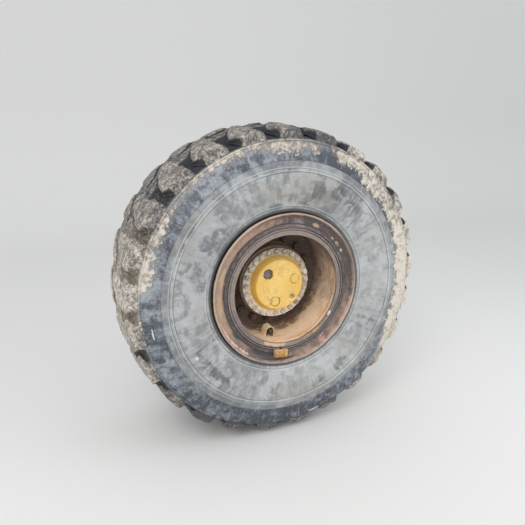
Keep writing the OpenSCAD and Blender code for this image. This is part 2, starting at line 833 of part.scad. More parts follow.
// Planet cover: bolted edge with the raised middle, and holes for the plugs.
module planet_cover() {
    hollow_end = drum_end + cover_hollow;
    color("#e0b040") difference() {
        turned_out([
            [0, cover_face + centre_step_h],
            [centre_step_r, cover_face + centre_step_h],
            [centre_step_r + centre_step_h, cover_face],
            [crown_face_r - crown_edge, cover_face],
            [crown_face_r, cover_face - crown_edge],
            [crown_foot_r, cover_edge],
            [cover_r, cover_edge],
            [cover_r, drum_end],
            [gear_room_r, drum_end],
            [gear_room_r - hollow_slope, hollow_end],
            [0, hollow_end]
        ]);
        ring_of(pin_count, pin_angle) rod_out(pin_plug_r + seat_gap, pin_circle,
            cover_face - pin_hole_depth, cover_face + past);
        around(oil_plug_angle) rod_out(oil_plug_r + seat_gap, oil_plug_circle,
            cover_face - oil_hole_depth, cover_face + past);
    }
}

// Bolts round the cover's edge, each a washer and a hexagon head.
module cover_bolts() {
    color("#9a958a") ring_of(cover_bolt_count) union() hex_on_washer(cover_bolt_corner,
        cover_bolt_h, cover_washer_t, cover_washer_rim, cover_bolt_circle, cover_edge);
}

// Planet pin plugs, the second of them bare and sunk deeper.
module planet_pin_plugs() {
    color("#d8a83c") for (i = [0 : pin_count - 1])
        around(pin_angle + i * 360 / pin_count) rod_out(pin_plug_r, pin_circle,
            cover_face - pin_hole_depth, cover_face - (i == 1 ? bare_pin_sunk : pin_sunk));
}

// Oil plug with a hexagon socket.
module oil_plug() {
    end = cover_face + oil_plug_proud;
    color("#c9a24a") around(oil_plug_angle) difference() {
        rod_out(oil_plug_r, oil_plug_circle, cover_face - oil_hole_depth, end);
        rod_out(oil_plug_r / 2, oil_plug_circle, end - oil_socket_depth, end + past, 6);
    }
}

// Brake disc on the end of the hub's neck.
module brake_disc() {
    color("#6e625a") turned_out([
        [brake_hole_r, brake_in],
        [brake_r, brake_in],
        [brake_r, neck_start],
        [brake_hole_r, neck_start]
    ]);
}

// Bolts that hold the brake disc to the neck.
module brake_disc_bolts() {
    color("#4c4742") ring_of(brake_bolt_count) rod_out(brake_bolt_corner / 2, brake_bolt_circle,
        brake_in - brake_bolt_h, brake_in, 6);
}

// Spindle: bolting flange, spigot, bearing seats and the half shaft's bore.
module spindle() {
    color("#4d4a45") difference() {
        turned_out([
            [shaft_bore_r, -spigot_l],
            [spigot_r, -spigot_l],
            [spigot_r, 0],
            [spindle_flange_r, 0],
            [spindle_flange_r, spindle_flange_t],
            [bracket_in_r - past, spindle_flange_t],
            [shoulder_seat_r, spindle_flange_t + spindle_slope],
            [shoulder_seat_r, neck_start - seal_l],
            [inner_seat_r, neck_start - seal_l],
            [inner_seat_r, hub_step - step_gap],
            [outer_seat_r, hub_step - step_gap],
            [outer_seat_r, spindle_end - end_cut],
            [outer_seat_r - end_cut, spindle_end],
            [shaft_bore_r, spindle_end]
        ]);
        ring_of(flange_hole_count)
            rod_out(flange_hole_r, flange_hole_circle, -past, spindle_flange_t + past);
    }
}

// Seal between the neck of the hub and the spindle.
module hub_seal() {
    color("#3a3a3a") turned_out([
        [inner_seat_r + seat_gap, neck_start - seal_l],
        [brake_hole_r - turn_gap, neck_start - seal_l],
        [brake_hole_r - turn_gap, neck_start - seal_end_gap],
        [inner_seat_r + seat_gap, neck_start - seal_end_gap]
    ]);
}

// A turned section cut to a block of a given width at the top of the wheel.
module cut_ring(profile, width) {
    intersection() {
        turned_out(profile);
        translate([-width / 2, -wheel_offset, 0])
            cube([width, wheel_offset, caliper_out_r + past]);
    }
}

// Caliper bracket: a ring on the spindle's flange with an arm for each caliper.
module caliper_bracket() {
    color("#55504a") difference() {
        union() {
            turned_out([
                [bracket_in_r, spindle_flange_t],
                [spindle_flange_r, spindle_flange_t],
                [spindle_flange_r, bracket_out],
                [bracket_in_r, bracket_out]
            ]);
            ring_of(2, 0) cut_ring([
                [spindle_flange_r - arm_root, spindle_flange_t],
                [arm_end_r, spindle_flange_t],
                [arm_end_r, bracket_out],
                [spindle_flange_r - arm_root, bracket_out]
            ], caliper_w - arm_narrow);
        }
        ring_of(flange_hole_count) rod_out(flange_hole_r, flange_hole_circle,
            spindle_flange_t - past, bracket_out + past);
    }
}

// Calipers: two halves joined over the brake disc, with piston housings.
module calipers() {
    color("#7d3f2a") ring_of(2, 0) difference() {
        union() {
            cut_ring([
                [caliper_in_r, bracket_out],
                [caliper_out_r - caliper_cut, bracket_out],
                [caliper_out_r, bracket_out + caliper_cut],
                [caliper_out_r, caliper_end - caliper_cut],
                [caliper_out_r - caliper_cut, caliper_end],
                [caliper_in_r, caliper_end],
                [caliper_in_r, outer_plate],
                [caliper_bridge_r, outer_plate],
                [caliper_bridge_r, inner_plate],
                [caliper_in_r, inner_plate]
            ], caliper_w);
            for (side = [-1, 1]) translate([side * piston_pitch / 2, 0, 0])
                rod_out(piston_r, (pad_in_r + brake_r) / 2, caliper_end - past,
                    caliper_end + piston_proud);
        }
        translate([-window_w / 2, window_edge - outer_plate, brake_r])
            cube([window_w, outer_plate - inner_plate - 2 * window_edge, caliper_out_r]);
    }
}

// Bolts that hold the calipers to the bracket's arms.
module caliper_bolts() {
    color("#4c4742") ring_of(2, 0) for (side = [-1, 1])
        translate([side * caliper_bolt_pitch / 2, 0, 0]) rod_out(caliper_bolt_corner / 2,
            caliper_bolt_circle, spindle_flange_t - caliper_bolt_h, spindle_flange_t, 6);
}

// Brake pads: a plate and a lining on each face of the disc, in each caliper.
module brake_pads() {
    color("#3d3833") ring_of(2, 0) {
        pad(inner_plate, brake_in - lining_gap);
        pad(neck_start + lining_gap, outer_plate);
    }
}

// One brake pad between two places along the axle.
module pad(from, to)
    cut_ring([[pad_in_r, from], [pad_out_r, from], [pad_out_r, to], [pad_in_r, to]], pad_w);

tyre();
rim_barrel();
gutter_section();
outer_side_ring();
inner_side_ring();
bead_seat_band();
lock_ring();
lock_key();
wheel_disc();
wheel_bolts();
valve();
valve_guard();
hub();
planet_cover();
cover_bolts();
planet_pin_plugs();
oil_plug();
brake_disc();
brake_disc_bolts();
spindle();
hub_seal();
caliper_bracket();
calipers();
caliper_bolts();
brake_pads();
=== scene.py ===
"""Looks of an articulated dump truck's front wheel: tyre, multi-piece rim, planetary hub, axle end.

Metres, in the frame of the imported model. The wheel turns about Y and its face looks towards -Y,
Z is up, and the truck's front is towards -X. Angles go counter-clockwise from +X as seen from
outside the truck, and "out" is the distance from the axle flange's face towards the viewer.
"""

import json
import logging
import math
from collections.abc import Sequence
from dataclasses import dataclass
from enum import Enum

import bmesh
import bpy
import numpy as np
from mathutils import Matrix, Vector


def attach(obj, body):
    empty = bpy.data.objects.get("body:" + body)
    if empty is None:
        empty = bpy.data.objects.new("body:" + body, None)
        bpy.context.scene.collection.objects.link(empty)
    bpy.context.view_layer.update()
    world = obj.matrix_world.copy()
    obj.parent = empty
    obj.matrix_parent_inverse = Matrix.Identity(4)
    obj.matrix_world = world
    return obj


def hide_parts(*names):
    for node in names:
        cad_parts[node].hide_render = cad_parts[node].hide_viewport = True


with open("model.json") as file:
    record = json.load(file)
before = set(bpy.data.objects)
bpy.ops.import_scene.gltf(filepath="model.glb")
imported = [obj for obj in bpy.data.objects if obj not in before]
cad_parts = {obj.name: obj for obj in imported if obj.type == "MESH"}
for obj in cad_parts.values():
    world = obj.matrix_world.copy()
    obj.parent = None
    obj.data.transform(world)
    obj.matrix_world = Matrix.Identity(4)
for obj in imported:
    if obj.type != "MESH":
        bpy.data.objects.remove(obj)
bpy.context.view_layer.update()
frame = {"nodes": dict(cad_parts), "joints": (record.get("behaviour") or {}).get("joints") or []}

TURN = 2 * math.pi
# Distance from the axle flange's face out to the tyre's middle plane.
MIDDLE = -frame["joints"][0]["pos_m"][1]

Colour = tuple[float, float, float]
Number = "Signal | float"
Point = tuple[float, ...]
Paint = "bpy.types.NodeSocket | Colour"
# Pairs of numbers, most often a curve's stops: a share of a turn, and the level there.
Line = tuple[tuple[float, float], ...]
# Uneven wear: which unevenness, the distance between its humps, and its greatest depth.
Dents = tuple[tuple[int, float, float], ...]

log = logging.getLogger("wheel")


class Body(Enum):
    """The two bodies that pieces ride on."""

    WHEEL = "wheel"
    AXLE = "axle_end"


def seen(red: float, green: float, blue: float) -> Colour:
    """Turns a colour as the eye reads it, 0 to 255, into linear light.

    Args:
        red, green, blue: The colour's parts, 0 to 255.

    Returns:
        The same colour in linear light, 0 to 1.
    """
    parts = [part / 255 for part in (red, green, blue)]
    return tuple(p / 12.92 if p <= 0.04045 else ((p + 0.055) / 1.055) ** 2.4 for p in parts)


# Shader maths


class Signal:
    """A number that varies over a surface, with the usual operators."""

    def __init__(self, graph: "Graph", socket: bpy.types.NodeSocket) -> None:
        """Keeps the graph and the socket that carries the number."""
        self.graph = graph
        self.socket = socket

    def math(self, operation: str, *others: Number) -> "Signal":
        """Adds one Math node.

        Args:
            operation: The node's operation.
            others: The operands after this one.

        Returns:
            The node's result.
        """
        values = dict(enumerate((self, *others)))
        node = self.graph.add("ShaderNodeMath", {"operation": operation}, values)
        return Signal(self.graph, node.outputs[0])

    def __add__(self, other: Number) -> "Signal":
        """Sum."""
        return self.math("ADD", other)

    __radd__ = __add__

    def __mul__(self, other: Number) -> "Signal":
        """Product."""
        return self.math("MULTIPLY", other)

    __rmul__ = __mul__

    def __sub__(self, other: Number) -> "Signal":
        """Difference."""
        return self.math("SUBTRACT", other)

    def __rsub__(self, other: Number) -> "Signal":
        """Difference from a number."""
        return -self + other

    def __truediv__(self, other: Number) -> "Signal":
        """Quotient."""
        return self.math("DIVIDE", other)

    def __rtruediv__(self, other: Number) -> "Signal":
        """Quotient of a number by this one."""
        return self.math("POWER", -1.0) * other

    def __neg__(self) -> "Signal":
        """Opposite."""
        return self * -1.0

    def root(self) -> "Signal":
        """Square root."""
        return self.math("SQRT")

    def size(self) -> "Signal":
        """Absolute value."""
        return self.math("ABSOLUTE")

    def at_least(self, other: Number) -> "Signal":
        """The larger of the two."""
        return self.math("MAXIMUM", other)

    def rise(self, low: float, high: float) -> "Signal":
        """Goes smoothly from 0 to 1 as the number goes from low to high.

        Args:
            low: Where it is 0. It may be above high, and then the rise is a fall.
            high: Where it is 1.

        Returns:
            The smooth step.
        """
        if low > high:
            return 1.0 - self.rise(high, low)
        settings = {"interpolation_type": "SMOOTHSTEP"}
        values = {"Value": self, "From Min": low, "From Max": high}
        return Signal(self.graph, self.graph.add("ShaderNodeMapRange", settings, values).outputs[0])

    def swing(self) -> "Signal":
        """Spreads noise that stays near one half, and moves it to about -0.5 to 0.5."""
        return self.rise(0.36, 0.64) - 0.5

    def band(self, middle: float, half: float, soft: float) -> "Signal":
        """1 within half of the middle, and 0 further away than half and soft together."""
        return (self - middle).size().rise(half + soft, half)


class Graph:
    """The node tree of one material, or of the world."""

    def __init__(self, owner: "bpy.types.Material | bpy.types.World") -> None:
        """Empties the tree of its owner.

        Args:
            owner: The material or the world.
        """
        owner.use_nodes = True
        self.tree = owner.node_tree
        self.tree.nodes.clear()

    def add(
        self,
        kind: str,
        settings: dict[str, object] | None = None,
        values: dict[int | str, object] | None = None,
        stops: Line = (),
    ) -> bpy.types.Node:
        """Adds one node.

        Args:
            kind: The node's type.
            settings: Its settings by name.
            values: A value, a signal or a socket for each of its inputs.
            stops: A ramp's stops, each a place and a grey level.

        Returns:
            The node.
        """
        node = self.tree.nodes.new(kind)
        for name, value in (settings or {}).items():
            setattr(node, name, value)
        for index, (place, level) in enumerate(stops):
            spare = node.color_ramp.elements
            stop = spare[index] if index < 2 else spare.new(place)
            stop.position = place
            stop.color = (level, level, level, 1)
        for name, value in (values or {}).items():
            self.feed(node.inputs[name], value)
        return node

    def feed(self, socket: bpy.types.NodeSocket, value: object) -> None:
        """Gives one input its value or its link.

        Args:
            socket: The input.
            value: A number, a colour, a signal or an output socket.
        """
        if isinstance(value, Signal):
            value = value.socket
        if isinstance(value, bpy.types.NodeSocket):
            self.tree.links.new(value, socket)
        elif socket.type == "RGBA":
            socket.default_value = (*value, 1)
        else:
            socket.default_value = value

    def mix(self, factor: Number, first: Paint, second: Paint) -> bpy.types.NodeSocket:
        """Mixes two colours; the factor is how much of the second shows."""
        # In a colour mix, inputs 6 and 7 and output 2 are the colours.
        node = self.add("ShaderNodeMix", {"data_type": "RGBA"}, {0: factor, 6: first, 7: second})
        return node.outputs[2]

    def shade(self, colour: Paint, factor: Number) -> bpy.types.NodeSocket:
        """Makes a colour darker where the factor is below 1 and lighter above."""
        values = {0: colour, "Scale": factor}
        return self.add("ShaderNodeVectorMath", {"operation": "SCALE"}, values).outputs[0]

    def surface(
        self,
        colour: Paint,
        rough: Number,
        height: Signal,
        depth: float,
        metallic: Number = 0.0,
        coat: float = 0.0,
    ) -> None:
        """Ends the material in one surface shader.

        Args:
            colour: The base colour.
            rough: The roughness.
            height: The relief, about 0 to 1.
            depth: The relief's depth in metres.
            metallic: How metallic it is.
            coat: How much clear coat it has.
        """
        bump = self.add("ShaderNodeBump", None, {"Distance": depth, "Height": height})
        shader = self.add("ShaderNodeBsdfPrincipled", None, {
            "Base Color": colour, "Roughness": rough, "Metallic": metallic, "Coat Weight": coat,
            "Normal": bump.outputs[0],
        })
        self.add("ShaderNodeOutputMaterial", None, {0: shader.outputs[0]})


class Place:
    """Where a point of a piece lies on the wheel, as signals."""

    def __init__(self, graph: Graph) -> None:
        """Reads the point's own place and splits it up.

        Args:
            graph: The material's graph.
        """
        self.graph = graph
        coords = graph.add("ShaderNodeTexCoord")
        self.here = coords.outputs["Object"]
        split = graph.add("ShaderNodeSeparateXYZ", None, {0: self.here})
        self.x, self.y, self.z = (Signal(graph, socket) for socket in split.outputs)
        facing = graph.add("ShaderNodeSeparateXYZ", None, {0: coords.outputs["Normal"]})
        self.up = Signal(graph, facing.outputs[2])
        self.radius = (self.x * self.x + self.z * self.z).root()
        self.turn = (self.z.math("ARCTAN2", self.x) / TURN).math("FRACT")
        self.off_middle = -self.y - MIDDLE

    def noise(
        self, scale: float, detail: float = 4, rough: float = 0.55, twist: float = 0,
        place: bpy.types.NodeSocket | None = None,
    ) -> Signal:
        """Cloudy noise about one half.

        Args:
            scale: How many clouds fit in a metre, or in a unit of the place.
            detail: How many finer layers it has.
            rough: How strong those are.
            twist: How much it is bent.
            place: The place it is read at, if that isn't the point's own.

        Returns:
            The noise, 0 to 1.
        """
        values = {
            "Vector": self.here if place is None else place, "Scale": scale, "Detail": detail,
            "Roughness": rough, "Distortion": twist,
        }
        node = self.graph.add("ShaderNodeTexNoise", None, values)
        return Signal(self.graph, node.outputs["Fac"])

    def streaks(self, stretch: Point, detail: float, rough: float, twist: float = 0) -> Signal:
        """Noise that is drawn out along the radius or round the wheel.

        Args:
            stretch: How many clouds go round a radian, and into a metre outward and along the axle.
            detail: How many finer layers it has.
            rough: How strong those are.
            twist: How much it is bent.

        Returns:
            The noise, 0 to 1.
        """
        around, radial, along = stretch
        depth = self.radius * radial + self.y * along
        values = {0: self.x / self.radius * around, 1: self.z / self.radius * around, 2: depth}
        place = self.graph.add("ShaderNodeCombineXYZ", None, values).outputs[0]
        return self.noise(1.0, detail, rough, twist, place)

    def spots(self, scale: float) -> Signal:
        """Distance to the nearest of many scattered points, in spacings."""
        node = self.graph.add("ShaderNodeTexVoronoi", None, {"Vector": self.here, "Scale": scale})
        return Signal(self.graph, node.outputs["Distance"])

    def seams(self, scale: float, bend: Signal, reach: float) -> Signal:
        """Distance to the nearest seam of a bent net of cells, in spacings.

        Args:
            scale: How many cells fit in a metre.
            bend: What bends the net.
            reach: How far a bend of 1 moves it.

        Returns:
            The distance.
        """
        add = self.graph.add
        steps = {0: bend * reach, 1: bend * -reach, 2: bend * reach}
        shift = add("ShaderNodeCombineXYZ", None, steps).outputs[0]
        moved = add("ShaderNodeVectorMath", {"operation": "ADD"}, {0: self.here, 1: shift})
        values = {"Vector": moved.outputs[0], "Scale": scale}
        node = add("ShaderNodeTexVoronoi", {"feature": "DISTANCE_TO_EDGE"}, values)
        return Signal(self.graph, node.outputs["Distance"])

    def level(self, stops: Line) -> Signal:
        """Reads a curve at the point's share of a turn."""
        node = self.graph.add("ShaderNodeValToRGB", None, {0: self.turn}, stops)
        return Signal(self.graph, node.outputs["Color"])

    def trait(self, name: str) -> Signal:
        """Reads a number that the mesh carries at each point."""
        node = self.graph.add("ShaderNodeAttribute", {"attribute_name": name})
        return Signal(self.graph, node.outputs["Fac"])


# Finishes


@dataclass(frozen=True)
class Spot:
    """A place on the wheel: a radius, and an angle in degrees."""

    radius: float
    angle: float

    @property
    def x(self) -> float:
        """How far it lies along X from the axle's line."""
        return self.radius * math.cos(math.radians(self.angle))

    @property
    def z(self) -> float:
        """How far it lies along Z from the axle's line."""
        return self.radius * math.sin(math.radians(self.angle))

    def put(self, aside: np.ndarray, up: np.ndarray, out: np.ndarray) -> np.ndarray:
        """Puts points that are measured at this spot into the model.

        Args:
            aside: How far round the wheel each is, clockwise as seen from outside.
            up: How far towards the rim.
            out: How far out from the axle flange.

        Returns:
            The points, one a row.
        """
        turn = math.radians(self.angle)
        height = self.radius + up
        x = height * math.cos(turn) + aside * math.sin(turn)
        z = height * math.sin(turn) - aside * math.cos(turn)
        return np.stack([x, -out + 0 * x, z], axis=-1)


def ring_of(count: int, radius: float, first: float = 90) -> list[Spot]:
    """Spaces spots evenly round the wheel.

    Args:
        count: How many there are.
        radius: The radius of their circle.
        first: The angle of the first, in degrees.

    Returns:
        The spots.
    """
    return [Spot(radius, first + index * 360 / count) for index in range(count)]


@dataclass(frozen=True)
class Finish:
    """A finish has a name, and its material is made once."""

    name: str

    def material(self) -> bpy.types.Material:
        """Makes the material, or finds the one that was made before.

        Returns:
            The material.
        """
        made = bpy.data.materials.get(self.name)
        if made is None:
            made = bpy.data.materials.new(self.name)
            self.paint(Place(Graph(made)))
        return made

    def paint(self, at: Place) -> None:
        """Fills in the material's nodes; each kind of finish has its own way."""
        raise NotImplementedError

    def dressed(self, at: Place, colour: Paint, patch: Signal, fine: Signal) -> Paint:
        """Adds what one piece has more than its kind of finish; here nothing."""
        return colour


@dataclass(frozen=True)
class Stain:
    """A stained place: its angle and half its width in degrees, its radius and half its height."""

    angle: float
    half: float
    radius: float
    reach: float
    strength: float

    def mask(self, at: Place) -> Signal:
        """How much a point lies in the place, fading towards its oval edge.

        Args:
            at: The point.

        Returns:
            The mask, 0 to the stain's strength.
        """
        across = (at.turn - self.angle / 360) * (360 / self.half)
        outward = (at.radius - self.radius) / self.reach
        return (across * across + outward * outward).root().rise(1.5, 0.5) * self.strength


@dataclass(frozen=True)
class Patch(Stain):
    """A stained place with a colour of its own."""

    colour: Colour = seen(200, 170, 130)


class Wear:
    """The noises that the tyre's wear is made of."""

    def __init__(self, at: Place) -> None:
        """Adds the noises, from wide clouds to fine grain.

        Args:
            at: The point.
        """
        self.at = at
        self.cloud = at.noise(5.5, 5, 0.6)
        self.blotch = at.noise(21, 5, 0.64, 0.4)
        self.speck = at.noise(62, 4, 0.68)
        self.grain = at.noise(240, 3, 0.6)
        self.streak = at.streaks((22, 4.5, 4), 5, 0.64, 0.8)
        self.thin = at.streaks((85, 11, 11), 3, 0.6, 0.6)
        # The same, spread out to about -0.5 to 0.5.
        self.blotched = self.blotch.swing()
        self.specked = self.speck.swing()
        self.flecked = at.noise(115, 3, 0.7).swing()
        self.streaked = self.streak.rise(0.38, 0.62) - 0.5
        self.mottle = self.blotched * 0.14 + self.specked * 0.26 + self.flecked * 0.40
        # Cracks between the cells of a bent net, on the tread.
        net = at.seams(24, self.speck, 0.02)
        self.splits = net.rise(0.035, 0.0) * self.blotch.rise(0.44, 0.56)


@dataclass(frozen=True)
class TyreRubber(Finish):
    """Weathered rubber with dried mud outside an uneven line, and painted shade or caked mud in the
    pockets between the lugs.
    """

    clean: Colour = seen(177, 180, 179)
    stained: Colour = seen(116, 119, 124)
    brown: Colour = seen(158, 148, 136)
    washed: Colour = seen(194, 197, 199)
    buttress: Colour = seen(158, 162, 170)
    dark: Colour = seen(72, 77, 86)
    mud: Colour = seen(226, 217, 203)
    old_mud: Colour = seen(158, 149, 140)
    tread_dark: Colour = seen(82, 82, 86)
    # Colour of the painted shade in the pockets between the lugs.
    pocket_shade: Colour = seen(50, 51, 57)
    pocket_mud: Colour = seen(150, 138, 124)
    # Colour of the scuffs, and of the painted highlights along the sidewall's steps.
    scuff_and_highlight: Colour = seen(214, 216, 216)
    # Colour of the painted shade with dirt in the sidewall's steps.
    dirt: Colour = seen(92, 92, 92)
    bead_shade: Colour = seen(96, 96, 99)
    # Colour of the painted shade in the gap at the rim's lip.
    bead_gap_shade: Colour = seen(40, 39, 40)
    relief: float = 0.0045
    # A curve gives 0 to 1, so the mud line's radii are read as shares of a span from a start.
    mud_from: float = 0.60
    mud_span: float = 0.16
    # Radius of the mud's inner edge at a share of a turn.
    mud_line: Line = (
        (0.0, 0.620), (0.12, 0.620), (0.145, 0.628), (0.17, 0.644), (0.183, 0.636), (0.20, 0.684),
        (0.212, 0.688), (0.224, 0.656), (0.25, 0.650), (0.275, 0.654), (0.29, 0.684), (0.36, 0.693),
        (0.42, 0.680), (0.44, 0.682), (0.455, 0.662), (0.48, 0.658), (0.492, 0.704), (0.54, 0.722),
        (0.80, 0.730), (0.86, 0.714), (0.885, 0.692), (0.91, 0.660), (0.93, 0.626), (1.0, 0.622),
    )
    # How dark the buttress is at a share of a turn.
    dark_line: Line = (
        (0.0, 0.5), (0.14, 0.85), (0.18, 0.96), (0.222, 0.56), (0.26, 0.46), (0.30, 0.36),
        (0.347, 0.29), (0.403, 0.47), (0.44, 0.42), (0.472, 0.38), (0.528, 0.58), (0.597, 0.58),
        (0.667, 0.60), (0.75, 0.62), (0.833, 0.46), (0.90, 0.4), (1.0, 0.5),
    )
    # How much mud lies on the lugs, and how pale it is, at a share of a turn.
    dust_line: Line = (
        (0.0, 0.95), (0.07, 0.66), (0.11, 0.42), (0.167, 0.66), (0.208, 0.16), (0.25, 0.34),
        (0.32, 0.36), (0.375, 0.36), (0.417, 0.38), (0.458, 0.52), (0.50, 0.66), (0.54, 0.56),
        (0.57, 0.56), (0.60, 0.32), (0.64, 0.08), (0.75, 0.25), (0.85, 0.45), (0.92, 0.85),
        (1.0, 0.95),
    )
    # How much mud, rather than painted shade, lies between the lugs at a share of a turn.
    pocket_line: Line = (
        (0.0, 0.3), (0.10, 0.10), (0.36, 0.05), (0.40, 0.25), (0.45, 0.75), (0.52, 0.70), (0.55, 0.25),
        (0.62, 0.25), (0.90, 0.2), (1.0, 0.3),
    )
    # How stained the sidewall is at a share of a turn.
    stain_line: Line = (
        (0.0, 0.08), (0.083, 0.24), (0.167, 0.70), (0.25, 0.56), (0.333, 0.40), (0.417, 0.80),
        (0.5, 0.38), (0.583, 0.44), (0.667, 0.54), (0.75, 0.26), (0.833, 0.06), (0.917, 0.40),
        (1.0, 0.08),
    )
    stains: tuple[Stain, ...] = (
        Stain(150, 16, 0.582, 0.010, 0.6), Stain(220, 15, 0.520, 0.026, 0.8),
        Stain(288, 5, 0.530, 0.036, 0.6), Stain(305, 6, 0.525, 0.034, 0.8),
        Stain(75, 4, 0.500, 0.050, 0.9), Stain(90, 16, 0.424, 0.022, 0.6),
        Stain(58, 12, 0.520, 0.050, 0.6), Stain(335, 6, 0.500, 0.050, 0.5),
    )
    scuffs: tuple[Stain, ...] = (
        Stain(209, 0.8, 0.535, 0.009, 1.0), Stain(95, 2.0, 0.655, 0.004, 0.8),
        Stain(190, 3.0, 0.668, 0.004, 0.8), Stain(284, 3.0, 0.705, 0.004, 0.8),
    )

    # Radii between which the buttress, the bead's painted shade and the painted shade in the gap at
    # the rim begin.
    buttress_from: tuple[float, float] = (0.6190, 0.6215)
    shade_from: tuple[float, float] = (0.401, 0.396)
    gap_shade_from: tuple[float, float] = (0.390, 0.385)
    # The sidewall's flat ring: its radius, half its width and its soft edge.
    flat_ring: tuple[float, float, float] = (0.6035, 0.0150, 0.003)
    # Painted shade with dirt in the sidewall's steps, and a painted highlight just outside each:
    # radius and half the width.
    step_shade_lines: Line = ((0.6205, 0.0013), (0.5855, 0.0009), (0.5690, 0.0013), (0.4110, 0.0010))

    def side_colour(self, wear: Wear) -> Paint:
        """Paints the sidewall, from the rim out to the buttress.

        Args:
            wear: The wear at the point.

        Returns:
            The sidewall's colour.
        """
        at, graph = wear.at, wear.at.graph
        patches = wear.blotched * 0.42 + wear.streaked * 0.24
        stained = (at.level(self.stain_line) + patches).rise(-0.12, 1.05)
        colour = graph.mix(stained, self.clean, self.stained)
        washed = (wear.cloud - wear.blotch * 0.5).rise(0.24, 0.36)
        colour = graph.mix(washed * 0.5, colour, self.washed)
        warm = at.noise(3.1, 4, 0.6, 0.5)
        colour = graph.mix(warm.rise(0.50, 0.66) * 0.42, colour, self.brown)
        damp = sum(stain.mask(at) for stain in self.stains)
        damp = damp + (wear.blotch - 0.5) * 1.6 + (wear.streak - 0.5) * 1.2
        colour = graph.mix(damp.rise(0.38, 0.85) * 0.55, colour, self.dark)
        flat = at.radius.band(*self.flat_ring) * (0.30 + wear.blotch.rise(0.35, 0.65) * 0.5)
        colour = graph.mix(flat, colour, self.stained)
        broken = (wear.blotch * 0.5 + wear.cloud * 0.5).rise(0.36, 0.56)
        # Along each step: a painted highlight just outside it, and painted shade with dirt in it.
        for radius, half in self.step_shade_lines:
            pale = at.radius.band(radius + 0.0045, 0.0010, 0.0025)
            colour = graph.mix(pale * broken * 0.45, colour, self.scuff_and_highlight)
            dirt = at.radius.band(radius, half, 0.0016) * (0.9 - broken * 0.5)
            colour = graph.mix(dirt, colour, self.dirt)
        return colour

    def buttress_colour(self, wear: Wear, side: Paint) -> Paint:
        """Paints the buttress, outside the sidewall's step.

        Args:
            wear: The wear at the point.
            side: The sidewall's colour.

        Returns:
            The colour of both.
        """
        at, graph = wear.at, wear.at.graph
        buttress = at.radius.rise(*self.buttress_from)
        patches = wear.blotched * 0.42 + wear.streaked * 0.16
        patches = patches + wear.specked * 0.22 + (wear.cloud - 0.5) * 0.9
        darkness = (at.level(self.dark_line) + patches).rise(0.0, 0.78)
        colour = graph.mix(buttress, side, graph.mix(darkness, self.buttress, self.dark))
        scratch = wear.thin.rise(0.60, 0.66) * (wear.blotched + 0.5)
        return graph.mix(buttress * scratch * 0.45, colour, self.washed)

    def caked_mud(self, wear: Wear, dusty: Signal) -> tuple[Signal, Paint]:
        """Spreads dried mud outside its uneven line.

        Args:
            wear: The wear at the point.
            dusty: How much mud there is on this side of the wheel.

        Returns:
            How much mud there is at the point, and its colour.
        """
        at, graph = wear.at, wear.at.graph
        shares = tuple((turn, (r - self.mud_from) / self.mud_span) for turn, r in self.mud_line)
        edge = at.level(shares) * self.mud_span + self.mud_from
        jagged = (wear.streak - 0.5) * 0.07 + (wear.cloud - 0.5) * 0.08 + (wear.blotch - 0.5) * 0.04
        cover = (at.radius - edge + jagged).rise(-0.024, 0.022) * (0.70 + dusty * 0.36)
        grit = wear.specked * 0.40 + wear.flecked * 0.30 + wear.blotched * 0.36
        pale = (dusty * 0.85 + wear.blotched * 0.35 + wear.specked * 0.35).rise(0.05, 0.85)
        return (cover + grit).rise(0.30, 0.80), graph.mix(pale, self.old_mud, self.mud)

    def tread_colour(self, wear: Wear, raised: Signal, lug_tops: Paint) -> Paint:
        """Paints the tread: dusty lugs, and painted shade or caked mud in the pockets between them and
        low on the lugs' sides.

        Args:
            wear: The wear at the point.
            raised: How far up a lug the point is.
            lug_tops: The colour of the lugs' tops.

        Returns:
            The tread's colour.
        """
        at, graph = wear.at, wear.at.graph
        caked = (at.level(self.pocket_line) + wear.mottle * 0.7).rise(0.15, 0.95)
        # Painted shade on the pockets' floors and low on the lugs' sides, with caked mud over it in
        # places.
        floor = graph.mix(caked, self.pocket_shade, self.pocket_mud)
        low = (raised + (wear.blotch - 0.5) * 0.4).rise(0.90, 0.58)
        return graph.mix(wear.splits * 0.6, graph.mix(low, lug_tops, floor), self.tread_dark)

    def paint(self, at: Place) -> None:
        """Fills in the material's nodes.

        Args:
            at: The point.
        """
        graph = at.graph
        raised, tread = at.trait("raised"), at.trait("tread")
        wear = Wear(at)
        dusty = at.level(self.dust_line)
        colour = self.buttress_colour(wear, self.side_colour(wear))
        mud_here, mud_colour = self.caked_mud(wear, dusty)
        colour = graph.mix(mud_here * 0.93, colour, mud_colour)
        dust = (dusty + wear.mottle + (raised - 0.8) * 0.6).rise(-0.06, 1.0)
        lug_tops = graph.mix(dust, self.tread_dark, mud_colour)
        colour = graph.mix(tread, colour, self.tread_colour(wear, raised, lug_tops))
        scuffed = sum(stain.mask(at) for stain in self.scuffs) + (wear.speck - 0.5) * 1.5
        colour = graph.mix(scuffed.rise(0.55, 0.8), colour, self.scuff_and_highlight)
        # Painted shade on the bead near the rim, darkest in the gap at the rim's lip.
        colour = graph.mix(at.radius.rise(*self.shade_from) * 0.9, colour, self.bead_shade)
        colour = graph.mix(at.radius.rise(*self.gap_shade_from), colour, self.bead_gap_shade)
        colour = graph.shade(colour, 0.90 + wear.grain * 0.12 + wear.speck * 0.10)

        caked = mud_here.at_least(tread * dust)
        rough = 0.70 + caked * 0.2 + (wear.grain - 0.5) * 0.2
        cracks = at.streaks((160, 22, 22), 2, 0.5)
        height = wear.grain * 0.2 + wear.speck * (0.5 + tread * 0.5) + cracks * 0.2
        height = height + caked * (wear.blotch * 0.8 + wear.speck * 0.5) - tread * wear.splits * 0.6
        graph.surface(colour, rough, height, self.relief)


